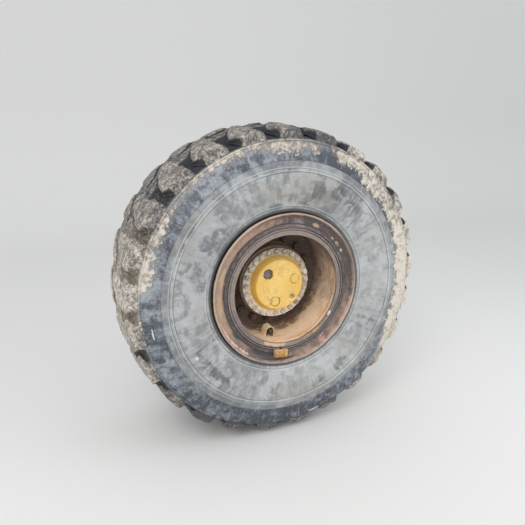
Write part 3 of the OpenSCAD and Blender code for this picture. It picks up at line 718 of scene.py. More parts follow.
@dataclass(frozen=True)
class RustySteel(Finish):
    """Rust over old paint, with paler dust where it faces up."""

    ground: Colour = seen(124, 104, 92)
    deep: Colour = seen(72, 60, 54)
    bright: Colour = seen(176, 128, 92)
    dust: Colour = seen(196, 168, 140)
    bright_amount: float = 0.6
    dust_amount: float = 0.8
    grain: float = 1.0
    relief: float = 0.0016

    def paint(self, at: Place) -> None:
        """Fills in the material's nodes.

        Args:
            at: The point.
        """
        graph = at.graph
        cloud = at.noise(6 * self.grain, 5, 0.6, 0.3)
        patch = at.noise(26 * self.grain, 5, 0.65, 0.5)
        fine = at.noise(170 * self.grain, 4, 0.6)
        streak = at.streaks((14, 10, 3), 4, 0.6)
        pits = at.spots(210 * self.grain).rise(0.32, 0.12)
        colour = graph.mix((cloud * 0.5 + patch * 0.5).rise(0.40, 0.60), self.ground, self.deep)
        rust = (patch * 0.6 + streak * 0.4 + (fine - 0.5) * 0.25).rise(0.50, 0.62)
        colour = graph.mix(rust * self.bright_amount, colour, self.bright)
        settled = (at.up * 0.55 + (cloud - 0.5) * 1.1 + (streak - 0.5) * 0.5).rise(0.08, 0.55)
        colour = graph.mix(settled * self.dust_amount, colour, self.dust)
        colour = self.dressed(at, colour, patch, fine)
        colour = graph.mix(pits * patch.rise(0.45, 0.6) * 0.45, colour, self.deep)
        colour = graph.shade(colour, 0.86 + fine * 0.28)
        rough = 0.60 + settled * 0.25 + (fine - 0.5) * 0.3
        height = patch * 0.6 + fine * 0.35 - pits * 0.4 + settled * fine * 0.3
        graph.surface(colour, rough, height, self.relief)


@dataclass(frozen=True)
class RimFace(RustySteel):
    """Rust on the rim's open side: slate or tan, with stains, a pale lip and dirt lines."""

    slate: Colour = seen(76, 69, 70)
    tan: Colour = seen(186, 158, 138)
    lip: Colour = seen(218, 192, 174)
    line: Colour = seen(66, 58, 54)
    cover: float = 0.85
    # How tan the face is, and how pale the lip if it has one, at a share of a turn.
    tan_line: Line = ((0.0, 0.5), (1.0, 0.5))
    lip_line: Line = ()
    lip_from: float = 0.366
    circles: tuple[float, ...] = ()
    patches: tuple[Patch, ...] = ()

    def dressed(self, at: Place, colour: Paint, patch: Signal, fine: Signal) -> Paint:
        """Adds the tan and slate sides, the stains, the lip and the dirt lines.

        Args:
            at: The point.
            colour: The rust's colour.
            patch: Patches about one half.
            fine: Fine grain about one half.

        Returns:
            The colour with these on it.
        """
        graph = at.graph
        loose = patch.swing() * 0.5 + (fine - 0.5) * 0.7
        tan = (at.level(self.tan_line) + loose * 0.8).rise(0.0, 1.0)
        colour = graph.mix(self.cover, colour, graph.mix(tan, self.slate, self.tan))
        for stain in self.patches:
            there = (stain.mask(at) + (patch - 0.5) * 1.6 + (fine - 0.5) * 0.9).rise(0.40, 0.80)
            colour = graph.mix(there * stain.mask(at).rise(0.0, 0.3), colour, stain.colour)
        if self.lip_line:
            lip = (at.radius + loose * 0.006).rise(self.lip_from, self.lip_from + 0.006)
            colour = graph.mix(lip * at.level(self.lip_line), colour, self.lip)
        for radius in self.circles:
            dirt = at.radius.band(radius, 0.0008, 0.0018) * patch.rise(0.35, 0.55)
            colour = graph.mix(dirt * 0.8, colour, self.line)
        return colour


@dataclass(frozen=True)
class BarrelRust(RimFace):
    """Rust of the barrel; its inside has painted shade at the top, and painted sunlight with caked
    dirt at the bottom.
    """

    shaded: Colour = seen(122, 106, 98)
    sunlit: Colour = seen(252, 222, 190)
    caked: Colour = seen(234, 190, 140)
    # Colour of earth patches, and of the painted shade deeper in towards the disc.
    earth_and_shade: Colour = seen(124, 102, 82)
    # How much painted sunlight, rather than painted shade, the inside has at a share of a turn.
    inside_line: Line = (
        (0.0, 0.48), (0.04, 0.46), (0.083, 0.28), (0.125, 0.06), (0.5, 0.10), (0.62, 0.35),
        (0.67, 0.60), (0.72, 0.95), (0.88, 0.95), (0.92, 0.72), (0.96, 0.52), (1.0, 0.48),
    )
    inside_from: float = 0.262

    def dressed(self, at: Place, colour: Paint, patch: Signal, fine: Signal) -> Paint:
        """Adds the inside's painted light and shade, rust stains and dirt to the open side's looks.

        Args:
            at: The point.
            colour: The rust's colour.
            patch: Patches about one half.
            fine: Fine grain about one half.

        Returns:
            The colour of the face or, further in, of the inside.
        """
        graph = at.graph
        face = super().dressed(at, colour, patch, fine)
        wide = at.noise(9, 4, 0.6, 0.8)
        around = at.streaks((5, 0, 42), 4, 0.6, 0.5)
        loose = patch.swing() * 0.3 + (around - 0.5) * 0.9 + (fine - 0.5) * 0.3
        # Painted shade at the top of the inside and painted sunlight at the bottom.
        pale = (at.level(self.inside_line) + loose * 0.7).rise(0.0, 1.0)
        inside = graph.mix(pale, self.shaded, self.sunlit)
        low = at.turn.band(0.80, 0.10, 0.07)
        rusty = (low * 0.5 + (wide - 0.5) * 1.6 + loose * 0.8).rise(0.32, 0.70)
        inside = graph.mix(rusty * 0.75, inside, self.caked)
        # Darker deeper in towards the disc: painted shade there, mixed with patches of earth.
        deep_down = at.off_middle.rise(0.125, 0.055)
        damp = (deep_down * 0.55 + (wide - 0.5) * 1.2 + (patch - 0.5) * 2.2).rise(0.24, 0.66)
        inside = graph.mix(damp * 0.70, inside, self.earth_and_shade)
        return graph.mix(at.off_middle.rise(self.inside_from, self.inside_from - 0.008), face, inside)


@dataclass(frozen=True)
class WornPaint(Finish):
    """Faded paint, dusty and chipped, darker where dirt gathers."""

    paint_colour: Colour = seen(232, 190, 100)
    faded: Colour = seen(240, 206, 134)
    dirt: Colour = seen(150, 112, 62)
    chip: Colour = seen(112, 78, 56)
    chips: float = 0.35
    shine: float = 0.48

    def paint(self, at: Place) -> None:
        """Fills in the material's nodes.

        Args:
            at: The point.
        """
        graph = at.graph
        cloud = at.noise(13, 5, 0.6, 0.3)
        patch = at.noise(55, 5, 0.62, 0.4)
        fine = at.noise(320, 4, 0.6)
        scratch = at.streaks((7, 260, 0), 3, 0.6)
        colour = graph.mix((cloud * 0.7 + patch * 0.3).rise(0.40, 0.62), self.paint_colour, self.faded)
        dirty = (patch * 0.6 + cloud * 0.4 + (fine - 0.5) * 0.3).rise(0.50, 0.66)
        colour = graph.mix(dirty * 0.5, colour, self.dirt)
        chipped = (patch + (fine - 0.5) * 0.4).rise(0.635, 0.665) * self.chips
        colour = graph.mix(chipped, colour, self.chip)
        colour = self.dressed(at, colour, patch, fine)
        colour = graph.shade(colour, 0.92 + fine * 0.16)
        rough = self.shine + dirty * 0.25 + (scratch - 0.5) * 0.2
        height = fine * 0.2 + patch * 0.3 + scratch * 0.1 - chipped * 0.5
        graph.surface(colour, rough, height, 0.0008, coat=0.05)


@dataclass(frozen=True)
class CoverPaint(WornPaint):
    """Paint of the hub's cover, with painted shade in a deeper gold on its side at the left and
    bottom, and a dusty ring under the bolts.
    """

    paint_colour: Colour = seen(238, 194, 98)
    faded: Colour = seen(246, 212, 130)
    dirt: Colour = seen(196, 142, 70)
    chips: float = 0.0
    # Colour of the painted shade on the cover's side.
    side_shade_gold: Colour = seen(244, 188, 84)
    grey_dust: Colour = seen(176, 158, 138)
    pale_dust: Colour = seen(254, 244, 226)
    grit: Colour = seen(112, 92, 72)
    outline: Colour = seen(112, 66, 20)
    side_from: float = 0.122
    ring_from: float = 0.143
    pins: tuple[Spot, ...] = ()
    pin_edge: float = 0.0255
    scribed: float = 0.088
    # How much painted shade in gold the side has, and how pale the dust on the ring, at a share of a
    # turn.
    side_shade_line: Line = (
        (0.0, 0.3), (0.22, 0.1), (0.34, 0.2), (0.42, 0.8), (0.66, 0.9), (0.80, 0.5), (1.0, 0.3),
    )
    dust_line: Line = (
        (0.0, 0.45), (0.10, 0.36), (0.25, 0.30), (0.36, 0.40), (0.5, 0.80), (0.62, 1.0), (0.86, 1.0),
        (0.94, 0.65), (1.0, 0.45),
    )

    def dressed(self, at: Place, colour: Paint, patch: Signal, fine: Signal) -> Paint:
        """Adds painted shade in gold on the side, the dusty ring, and the thin lines round the pins.

        Args:
            at: The point.
            colour: The paint's colour.
            patch: Patches about one half.
            fine: Fine grain about one half.

        Returns:
            The colour with these on it.
        """
        graph = at.graph
        # Painted shade on the side of the raised face, in a deeper gold, mostly at the left and
        # bottom.
        side = at.radius.rise(self.side_from, self.side_from + 0.004)
        colour = graph.mix(side * at.level(self.side_shade_line), colour, self.side_shade_gold)
        gritty = at.spots(170).rise(0.45, 0.20)
        loose = patch.swing() * 0.6 + (fine - 0.5) * 0.6
        level = (at.level(self.dust_line) + loose * 0.6).rise(0.0, 1.0)
        dust = graph.mix(level, self.grey_dust, self.pale_dust)
        gritty = (gritty * 0.5 + patch - 0.35).rise(0.30, 0.60) * (0.85 - level * 0.4)
        dust = graph.mix(gritty, dust, self.grit)
        ring = (at.radius + loose * 0.010).rise(self.ring_from, self.ring_from + 0.008)
        colour = graph.mix(ring, colour, dust)
        arc = at.radius.band(self.scribed, 0.0004, 0.0010) * patch.rise(0.42, 0.52)
        colour = graph.mix(arc * 0.45, colour, self.outline)
        for pin in self.pins:
            across, above = at.x - pin.x, at.z - pin.z
            away = (across * across + above * above).root()
            worn = patch.rise(0.36, 0.52)
            colour = graph.mix(away.band(self.pin_edge, 0.0008, 0.0012) * worn, colour, self.outline)
        return colour


@dataclass(frozen=True)
class Casting(Finish):
    """Rough cast iron with grime and a little rust."""

    ground: Colour = seen(104, 90, 78)
    grime: Colour = seen(58, 50, 45)
    rust: Colour = seen(150, 106, 74)
    dust: Colour = seen(178, 156, 132)
    dust_amount: float = 0.5
    rubbed: Colour = seen(150, 146, 140)
    rubbed_amount: float = 0.0

    def paint(self, at: Place) -> None:
        """Fills in the material's nodes.

        Args:
            at: The point.
        """
        graph = at.graph
        cloud = at.noise(9, 5, 0.62, 0.4)
        patch = at.noise(38, 5, 0.65, 0.3)
        sand = at.noise(260, 3, 0.6)
        rings = at.streaks((3, 420, 60), 3, 0.6)
        colour = graph.mix((cloud * 0.6 + patch * 0.4).rise(0.40, 0.60), self.ground, self.grime)
        colour = graph.mix(patch.rise(0.54, 0.66) * 0.6, colour, self.rust)
        settled = (at.up * 0.6 + (cloud - 0.5) * 1.2).rise(0.1, 0.6)
        colour = graph.mix(settled * self.dust_amount, colour, self.dust)
        bare = (rings * 0.6 + cloud * 0.4).rise(0.40, 0.56) * self.rubbed_amount
        colour = graph.mix(bare, colour, self.rubbed)
        colour = graph.shade(colour, 0.88 + sand * 0.24)
        rough = 0.68 + (sand - 0.5) * 0.3 - bare * 0.28
        height = sand * 0.5 + patch * 0.6 - bare * 0.2
        graph.surface(colour, rough, height, 0.0011, metallic=bare * 0.7)


@dataclass(frozen=True)
class BoltSteel(Finish):
    """Bolt heads under dust, with the metal rubbed through on edges."""

    ground: Colour = seen(118, 104, 92)
    dust: Colour = seen(186, 178, 164)
    dark: Colour = seen(60, 50, 44)
    dust_amount: float = 0.8

    def paint(self, at: Place) -> None:
        """Fills in the material's nodes.

        Args:
            at: The point.
        """
        graph = at.graph
        cloud = at.noise(11, 3, 0.6)
        patch = at.noise(80, 4, 0.6, 0.3)
        fine = at.noise(420, 3, 0.6)
        colour = graph.mix(patch.rise(0.42, 0.60), self.ground, self.dark)
        settled = (at.up * 0.35 + (cloud - 0.5) * 1.4 + (patch - 0.5) * 0.8).rise(-0.05, 0.35)
        colour = graph.mix(settled * self.dust_amount, colour, self.dust)
        colour = graph.shade(colour, 0.88 + fine * 0.24)
        rough = 0.5 + settled * 0.35 + (fine - 0.5) * 0.2
        graph.surface(colour, rough, patch * 0.5 + fine * 0.4, 0.0006, metallic=0.25 - settled * 0.25)


@dataclass(frozen=True)
class Moulded(Finish):
    """Black plastic or rubber, a little glossy, with dust on top."""

    ground: Colour = seen(34, 34, 36)
    dust: Colour = seen(120, 110, 98)
    shine: float = 0.28
    dust_amount: float = 0.35

    def paint(self, at: Place) -> None:
        """Fills in the material's nodes.

        Args:
            at: The point.
        """
        graph = at.graph
        patch = at.noise(60, 4, 0.6)
        fine = at.noise(500, 3, 0.6)
        settled = (at.up * 0.4 + (patch - 0.5) * 1.2).rise(0.1, 0.6)
        colour = graph.mix(settled * self.dust_amount, self.ground, self.dust)
        rough = self.shine + settled * 0.4 + (fine - 0.5) * 0.12
        graph.surface(colour, rough, fine * 0.5 + patch * 0.3, 0.0003)


@dataclass(frozen=True)
class Finishes:
    """Every finish on the wheel."""

    tyre: Finish = TyreRubber("tyre_finish")
    barrel: Finish = BarrelRust(
        "barrel_finish", seen(134, 120, 112), seen(96, 86, 80), slate=seen(118, 106, 103),
        tan=seen(158, 142, 132), tan_line=(
            (0.0, 0.50), (0.25, 0.75), (0.42, 0.55), (0.5, 0.65), (0.583, 0.35), (0.65, 0.35),
            (0.75, 0.75), (0.833, 0.55), (1.0, 0.50),
        ),
        circles=(0.2735,), patches=(
            Patch(328, 3, 0.280, 0.010, 0.9, seen(226, 206, 192)),
            Patch(305, 5, 0.276, 0.012, 0.8, seen(190, 156, 104)),
            Patch(248, 4, 0.281, 0.008, 0.9, seen(228, 204, 180)),
            Patch(258, 14, 0.278, 0.014, 0.9, seen(214, 184, 148)),
            Patch(292, 8, 0.276, 0.012, 0.5, seen(190, 158, 132)),
            Patch(45, 32, 0.2745, 0.005, 0.8, seen(92, 80, 74)),
            Patch(195, 40, 0.278, 0.008, 0.5, seen(170, 148, 138)),
        ),
    )
    ring: Finish = RimFace(
        "ring_finish", seen(134, 112, 102), seen(88, 72, 66), seen(176, 134, 100),
        seen(190, 172, 158),
        tan_line=(
            (0.0, 0.12), (0.083, 0.04), (0.167, 0.10), (0.24, 0.18), (0.29, 0.50), (0.333, 0.72),
            (0.417, 0.84), (0.5, 0.95), (0.583, 0.72), (0.65, 0.46), (0.70, 0.34), (0.76, 0.44),
            (0.833, 0.54), (0.917, 0.54), (0.96, 0.40), (1.0, 0.12),
        ),
        lip_line=(
            (0.0, 0.52), (0.05, 0.32), (0.11, 0.36), (0.14, 0.66), (0.25, 0.50), (0.333, 0.62),
            (0.375, 0.56), (0.417, 0.36), (0.5, 0.32), (0.56, 0.38), (0.64, 0.42), (0.72, 0.30),
            (0.80, 0.42), (0.88, 0.60), (0.95, 0.74), (1.0, 0.52),
        ),
        circles=(0.3285,), patches=(
            Patch(31, 1.5, 0.342, 0.006, 0.9, seen(206, 196, 186)),
            Patch(38, 4, 0.341, 0.010, 0.8, seen(184, 160, 136)),
            Patch(45, 2, 0.339, 0.006, 0.8, seen(196, 180, 166)),
            Patch(65, 4, 0.341, 0.010, 0.8, seen(176, 156, 134)),
            Patch(82, 9, 0.332, 0.020, 0.6, seen(136, 126, 136)),
            Patch(100, 22, 0.3615, 0.0025, 0.9, seen(128, 88, 58)),
            Patch(187, 10, 0.348, 0.014, 0.8, seen(192, 160, 128)),
            Patch(165, 9, 0.346, 0.012, 0.6, seen(198, 176, 134)),
            Patch(150, 40, 0.3295, 0.006, 0.6, seen(112, 98, 94)),
            Patch(222, 22, 0.364, 0.007, 0.8, seen(222, 190, 178)),
            Patch(217, 6, 0.334, 0.008, 0.7, seen(86, 90, 96)),
            Patch(249, 15, 0.338, 0.018, 0.9, seen(76, 73, 78)),
            Patch(262, 20, 0.361, 0.008, 0.8, seen(84, 78, 80)),
            Patch(306, 7, 0.357, 0.014, 0.7, seen(188, 148, 138)),
            Patch(308, 3, 0.334, 0.006, 0.9, seen(214, 190, 180)),
        ),
    )
    band: Finish = RimFace(
        "band_finish", seen(108, 100, 98), seen(76, 70, 68), seen(150, 114, 88),
        slate=seen(66, 60, 61), tan=seen(142, 130, 128), circles=(0.3265, 0.3095), tan_line=(
            (0.0, 0.28), (0.167, 0.34), (0.23, 0.66), (0.30, 0.42), (0.417, 0.20), (0.5, 0.18),
            (0.583, 0.10), (0.667, 0.04), (0.74, 0.40), (0.833, 0.30), (0.917, 0.42), (1.0, 0.28),
        ),
    )
    lock: Finish = RimFace(
        "lock_finish", seen(132, 124, 122), seen(92, 84, 82), seen(150, 120, 98),
        slate=seen(108, 101, 102), tan=seen(176, 162, 156), circles=(0.3065, 0.2985), tan_line=(
            (0.0, 0.30), (0.167, 0.42), (0.25, 0.55), (0.333, 0.60), (0.417, 0.42), (0.5, 0.55),
            (0.60, 0.25), (0.667, 0.0), (0.74, 0.35), (0.833, 0.25), (1.0, 0.30),
        ),
    )
    dark_rust: Finish = RustySteel(
        "dark_rust_finish", seen(116, 102, 92), seen(84, 74, 68), seen(158, 122, 90),
        seen(184, 156, 130), 0.4, 0.6,
    )
    key: Finish = RustySteel(
        "key_finish", seen(210, 164, 100), seen(140, 96, 58), seen(236, 190, 118),
        seen(222, 190, 150), 0.8, 0.4, 2.0,
    )
    old_bolts: Finish = BoltSteel(
        "old_bolt_finish", seen(112, 96, 84), seen(160, 138, 116), seen(72, 62, 56), 0.5
    )
    dusty_bolts: Finish = BoltSteel(
        "dusty_bolt_finish", seen(214, 198, 176), seen(254, 246, 230), seen(140, 122, 102), 0.9
    )
    cap: Finish = Moulded("cap_finish", seen(52, 48, 52), shine=0.18, dust_amount=0.15)
    seal: Finish = Moulded("seal_finish", seen(40, 39, 38), seen(84, 76, 66), 0.45, 0.5)
    guard: Finish = WornPaint(
        "guard_finish", seen(232, 206, 156), seen(244, 226, 188), seen(176, 140, 92), chips=0.4,
    )
    hub: Finish = Casting(
        "hub_finish", seen(152, 136, 124), seen(112, 100, 92), seen(172, 134, 102), seen(196, 178, 160)
    )
    cover: Finish = CoverPaint(
        "cover_finish", pins=(Spot(0.088, 16), Spot(0.088, 136), Spot(0.088, 256))
    )
    pins: Finish = WornPaint(
        "pin_finish", seen(238, 194, 98), seen(246, 212, 130), seen(196, 142, 70)
    )
    bare_pin: Finish = BoltSteel(
        "bare_pin_finish", seen(132, 116, 118), seen(160, 146, 132), seen(92, 80, 84)
    )
    plug: Finish = BoltSteel(
        "plug_finish", seen(206, 174, 108), seen(240, 226, 190), seen(140, 108, 62), 0.6
    )
    disc: Finish = Casting(
        "brake_disc_finish", seen(126, 108, 94), seen(92, 78, 68), rubbed_amount=0.75
    )
    axle: Finish = Casting("axle_finish", seen(92, 86, 78), seen(56, 51, 47))
    caliper: Finish = Casting("caliper_finish", seen(128, 98, 80), seen(80, 62, 52))
    lining: Finish = Casting("lining_finish", seen(78, 72, 68), seen(52, 48, 46), dust_amount=0.3)


FINISHES = Finishes()


# Meshes


def rounded(corners: Sequence[Point], cut: float = 0.002, steps: int = 3) -> np.ndarray:
    """Rounds the corners of a closed outline.

    Args:
        corners: Each corner's two coordinates and, where it isn't the usual cut, its own.
        cut: How far from a corner its rounding starts.
        steps: How many edges a rounded corner has.

    Returns:
        The points of the rounded outline.
    """
    spots = np.array([corner[:2] for corner in corners], float)
    points = []
    for index, corner in enumerate(corners):
        here, before, after = spots[index], spots[index - 1], spots[(index + 1) % len(spots)]
        back, ahead = before - here, after - here
        longs = np.linalg.norm(back), np.linalg.norm(ahead)
        size = min(corner[2] if len(corner) > 2 else cut, 0.45 * longs[0], 0.45 * longs[1])
        if size < 1e-5:
            points.append(here)
            continue
        start, end = here + back / longs[0] * size, here + ahead / longs[1] * size
        for t in np.linspace(0, 1, steps + 1):
            points.append((1 - t) ** 2 * start + 2 * t * (1 - t) * here + t * t * end)
    return np.array(points)


def refined(outline: np.ndarray, longest: float) -> np.ndarray:
    """Splits the long edges of a closed outline.

    Args:
        outline: The outline's points.
        longest: The longest edge that stays whole.

    Returns:
        The outline with more points.
    """
    points = []
    for here, after in zip(outline, np.roll(outline, -1, axis=0)):
        pieces = max(1, math.ceil(np.linalg.norm(after - here) / longest))
        points.extend(here + (after - here) * k / pieces for k in range(pieces))
    return np.array(points)


def evenly(outline: np.ndarray, count: int) -> np.ndarray:
    """Spreads a number of points evenly along a closed outline.

    Args:
        outline: The outline's points.
        count: How many points the result has.

    Returns:
        The evenly spread points.
    """
    closed = np.vstack([outline, outline[:1]])
    length = np.concatenate([[0], np.cumsum(np.linalg.norm(np.diff(closed, axis=0), axis=1))])
    places = np.linspace(0, length[-1], count, endpoint=False)
    return np.stack([np.interp(places, length, closed[:, axis]) for axis in (0, 1)], axis=1)


class Unevenness:
    """Smooth made-up unevenness in space, the same on every run."""

    def __init__(self, seed: int, size: float, waves: int = 28) -> None:
        """Draws the waves.

        Args:
            seed: Which unevenness it is.
            size: The usual distance between its humps.
            waves: How many waves are added up.
        """
        draw = np.random.default_rng(seed)
        aims = draw.normal(size=(waves, 3))
        aims /= np.linalg.norm(aims, axis=1)[:, None]
        self.waves = aims * TURN / (size * draw.uniform(0.7, 1.7, (waves, 1)))
        self.phases = draw.uniform(0, TURN, waves)

    def at(self, points: np.ndarray) -> np.ndarray:
        """Gives the unevenness at points, about -1 to 1 for each row of the points."""
        return np.sin(points @ self.waves.T + self.phases).sum(axis=1) / math.sqrt(len(self.phases))


class Draft:
    """Points and faces of one piece while it is being built."""

    def __init__(self) -> None:
        """Starts with nothing."""
        self.points: list[np.ndarray] = []
        self.faces: list[tuple[int, ...]] = []
        self.traits: dict[str, list[np.ndarray]] = {}
        self.count = 0

    def grid(
        self, points: np.ndarray, around: bool, caps: bool, traits: dict[str, np.ndarray] | None = None
    ) -> None:
        """Adds rows of points joined by four-sided faces, each row a closed loop.

        Args:
            points: The points as rows, points and coordinates.
            around: Whether the last row joins the first.
            caps: Whether a face closes the first and the last row.
            traits: A number for each point, by name.
        """
        rows, loop = points.shape[:2]
        first = self.count
        self.points.append(points.reshape(-1, 3))
        self.count += rows * loop
        for name, values in (traits or {}).items():
            self.traits.setdefault(name, []).append(np.broadcast_to(values, (rows, loop)).ravel())
        index = first + np.arange(rows * loop).reshape(rows, loop)
        below = index if around else index[:-1]
        above = np.roll(index, -1, axis=0) if around else index[1:]
        quads = np.stack(
            [below, np.roll(below, -1, axis=1), np.roll(above, -1, axis=1), above], axis=-1
        )
        self.faces.extend(map(tuple, quads.reshape(-1, 4).tolist()))
        if caps:
            self.faces.append(tuple(index[0].tolist()))
            self.faces.append(tuple(index[-1][::-1].tolist()))

    def lathe(
        self, outline: np.ndarray, steps: int = 192, start: float = 0, sweep: float = 360,
        traits: dict[str, np.ndarray] | None = None,
    ) -> None:
        """Turns a closed outline of radius and distance out about the axle.

        Args:
            outline: The outline's points.
            steps: How many steps go round.
            start: The angle it starts at, in degrees.
            sweep: How far it goes round, in degrees.
            traits: A number for each point of the outline, by name.
        """
        whole = sweep >= 360
        turns = np.radians(start + np.linspace(0, sweep, steps + (not whole), endpoint=not whole))
        x = np.cos(turns)[:, None] * outline[None, :, 0]
        z = np.sin(turns)[:, None] * outline[None, :, 0]
        y = np.broadcast_to(-outline[None, :, 1], x.shape)
        self.grid(np.stack([x, y, z], axis=-1), whole, not whole, traits)

    def stack(
        self, spot: Spot, rings: Sequence[tuple[object, object]], sides: int = 48, spin: float = 0
    ) -> None:
        """Adds a turned piece with its own axis, parallel to the axle.

        Args:
            spot: Where its axis is.
            rings: The radius and the distance out of each ring; either may vary round it.
            sides: How many sides it has.
            spin: How far it is turned about its axis, in degrees.
        """
        turns = np.linspace(0, TURN, sides, endpoint=False)
        spun = turns + math.radians(spin)
        rows = [spot.put(r * np.cos(spun), r * np.sin(spun), out + 0 * turns) for r, out in rings]
        self.grid(np.stack(rows), False, True)

    def hexagon(
        self, spot: Spot, corner: float, face: float, height: float, spin: float, dish: float = 0
    ) -> None:
        """Adds a hexagon head whose corners are turned off at the top.

        Args:
            spot: Where its axis is.
            corner: Its size from the middle to a corner.
            face: The distance out of the face that it stands on.
            height: Its height.
            spin: How far it is turned, in degrees.
            dish: How deep its top is hollowed.
        """
        turns = np.linspace(0, TURN, 48, endpoint=False)
        flat = corner * math.cos(math.pi / 6)
        radius = flat / np.cos((turns % (TURN / 6)) - math.pi / 6)
        fall = (radius - flat * 0.97) * math.tan(math.radians(32))
        top = face + height
        self.stack(spot, [
            (radius * 0.97, face),
            (radius, face + 0.04 * corner),
            (radius, top - fall - 0.03 * corner),
            (radius * 0.985, top - fall),
            (flat * 0.95, top - 0.004 * corner),
            (flat * 0.90, top),
            (flat * 0.55, top),
            (flat * 0.48, top - dish),
            (flat * 0.10, top - dish),
        ], 48, spin)

    def washer(self, spot: Spot, radius: float, face: float, thick: float) -> None:
        """Adds a flat washer with soft edges.

        Args:
            spot: Where its axis is.
            radius: Its radius.
            face: The distance out of the face that it lies on.
            thick: Its thickness.
        """
        soft = 0.25 * thick
        self.stack(spot, [
            (radius - soft, face), (radius, face + soft), (radius, face + thick - soft),
            (radius - soft, face + thick), (radius * 0.5, face + thick),
        ], 40)

    def tube(self, path: np.ndarray, radii: Sequence[float] | np.ndarray, sides: int = 24) -> None:
        """Adds a round tube along a path.

        Args:
            path: The path's points.
            radii: The tube's radius at each.
            sides: How many sides it has.
        """
        aims = np.gradient(path, axis=0)
        aims /= np.linalg.norm(aims, axis=1)[:, None]
        side = np.cross(aims[0], [0.3, 0.5, 0.81])
        rows = []
        turns = np.linspace(0, TURN, sides, endpoint=False)
        for here, aim, radius in zip(path, aims, radii):
            side = side - aim * (side @ aim)
            side /= np.linalg.norm(side)
            other = np.cross(aim, side)
            ring = np.cos(turns)[:, None] * side + np.sin(turns)[:, None] * other
            rows.append(here + radius * ring)
        self.grid(np.stack(rows), False, True)

    def bead(self, radius: float, out: float, thick: float, seed: int, steps: int = 360) -> None:
        """Adds an uneven weld bead round the axle.

        Args:
            radius: The radius of its middle.
            out: The distance out of its middle.
            thick: Half its thickness.
            seed: Which unevenness it has.
            steps: How many steps go round.
        """
        turns = np.linspace(0, TURN, steps, endpoint=False)
        draw = np.random.default_rng(seed)
        ripple = 1 + 0.10 * np.abs(np.sin(turns * 90)) + 0.10 * np.interp(
            turns, np.linspace(0, TURN, 41), np.append(draw.uniform(-1, 1, 40), 0)
        )
        section = np.linspace(0, TURN, 14, endpoint=False)
        size = thick * ripple[:, None]
        across = radius + size * np.cos(section)
        along = out + size * np.sin(section)
        points = np.stack([
            across * np.cos(turns)[:, None], -along, across * np.sin(turns)[:, None]
        ], axis=-1)
        self.grid(points, True, False)

    def turn_in(self) -> None:
        """Mirrors the draft, so that what was built looking out looks towards the truck."""
        self.points = [points * [1, -1, 1] for points in self.points]

    def build(
        self, name: str, finish: Finish, slot: str, *nodes: str, body: Body = Body.WHEEL,
        dents: Dents = (), sharp: float = 35,
    ) -> None:
        """Makes the piece, wears it down and lets it ride on its body.

        Args:
            name: The piece's name.
            finish: Its finish.
            slot: The record's material slot.
            nodes: The solids that it replaces.
            body: The body that it rides on.
            dents: How it is worn.
            sharp: The angle in degrees above which an edge is kept sharp.
        """
        mesh = bpy.data.meshes.new(name)
        mesh.from_pydata(np.concatenate(self.points).tolist(), [], self.faces)
        for trait, values in self.traits.items():
            layer = mesh.attributes.new(trait, "FLOAT", "POINT")
            layer.data.foreach_set("value", np.concatenate(values).astype(np.float32))
        made = bmesh.new()
        made.from_mesh(mesh)
        bmesh.ops.remove_doubles(made, verts=made.verts, dist=2e-6)
        bmesh.ops.recalc_face_normals(made, faces=made.faces)
        made.to_mesh(mesh)
        made.free()
        piece = smooth_piece(name, mesh, finish, sharp)
        if dents:
            press_in(piece, dents)
        settle(piece, body, slot, *nodes)


def smooth_piece(name: str, mesh: bpy.types.Mesh, finish: Finish, sharp: float) -> bpy.types.Object:
    """Makes an object of a mesh, smooth but for its sharp edges.

    Args:
        name: The piece's name.
        mesh: Its mesh.
        finish: Its finish.
        sharp: The angle in degrees above which an edge is kept sharp.

    Returns:
        The object.
    """
    mesh.shade_smooth()
    mesh.set_sharp_from_angle(angle=math.radians(sharp))
    mesh.materials.clear()
    mesh.materials.append(finish.material())
    piece = bpy.data.objects.new(name, mesh)
    bpy.context.scene.collection.objects.link(piece)
    return piece


def press_in(piece: bpy.types.Object, dents: Dents) -> None:
    """Wears a piece down unevenly, only ever inwards.

    Args:
        piece: The piece.
        dents: How it is worn.
    """
    mesh = piece.data
    points = np.empty(len(mesh.vertices) * 3)
    normals = np.empty(len(mesh.vertices) * 3)
    mesh.vertices.foreach_get("co", points)
    mesh.vertices.foreach_get("normal", normals)
    points, normals = points.reshape(-1, 3), normals.reshape(-1, 3)
    for seed, size, depth in dents:
        level = np.clip(0.5 - 0.5 * Unevenness(seed, size).at(points), 0, 1)
        points = points - normals * (level * depth)[:, None]
    mesh.vertices.foreach_set("co", points.ravel())
    mesh.update()


def settle(piece: bpy.types.Object, body: Body, slot: str, *nodes: str) -> None:
    """Makes a piece ride on its body and stand for its solids.

    Args:
        piece: The piece.
        body: The body that it rides on.
        slot: The record's material slot; not used.
        nodes: The solids that it replaces.
    """
    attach(piece, body.value)
    if nodes:
        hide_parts(*nodes)
    log.info("%s: %d faces", piece.name, len(piece.data.polygons))


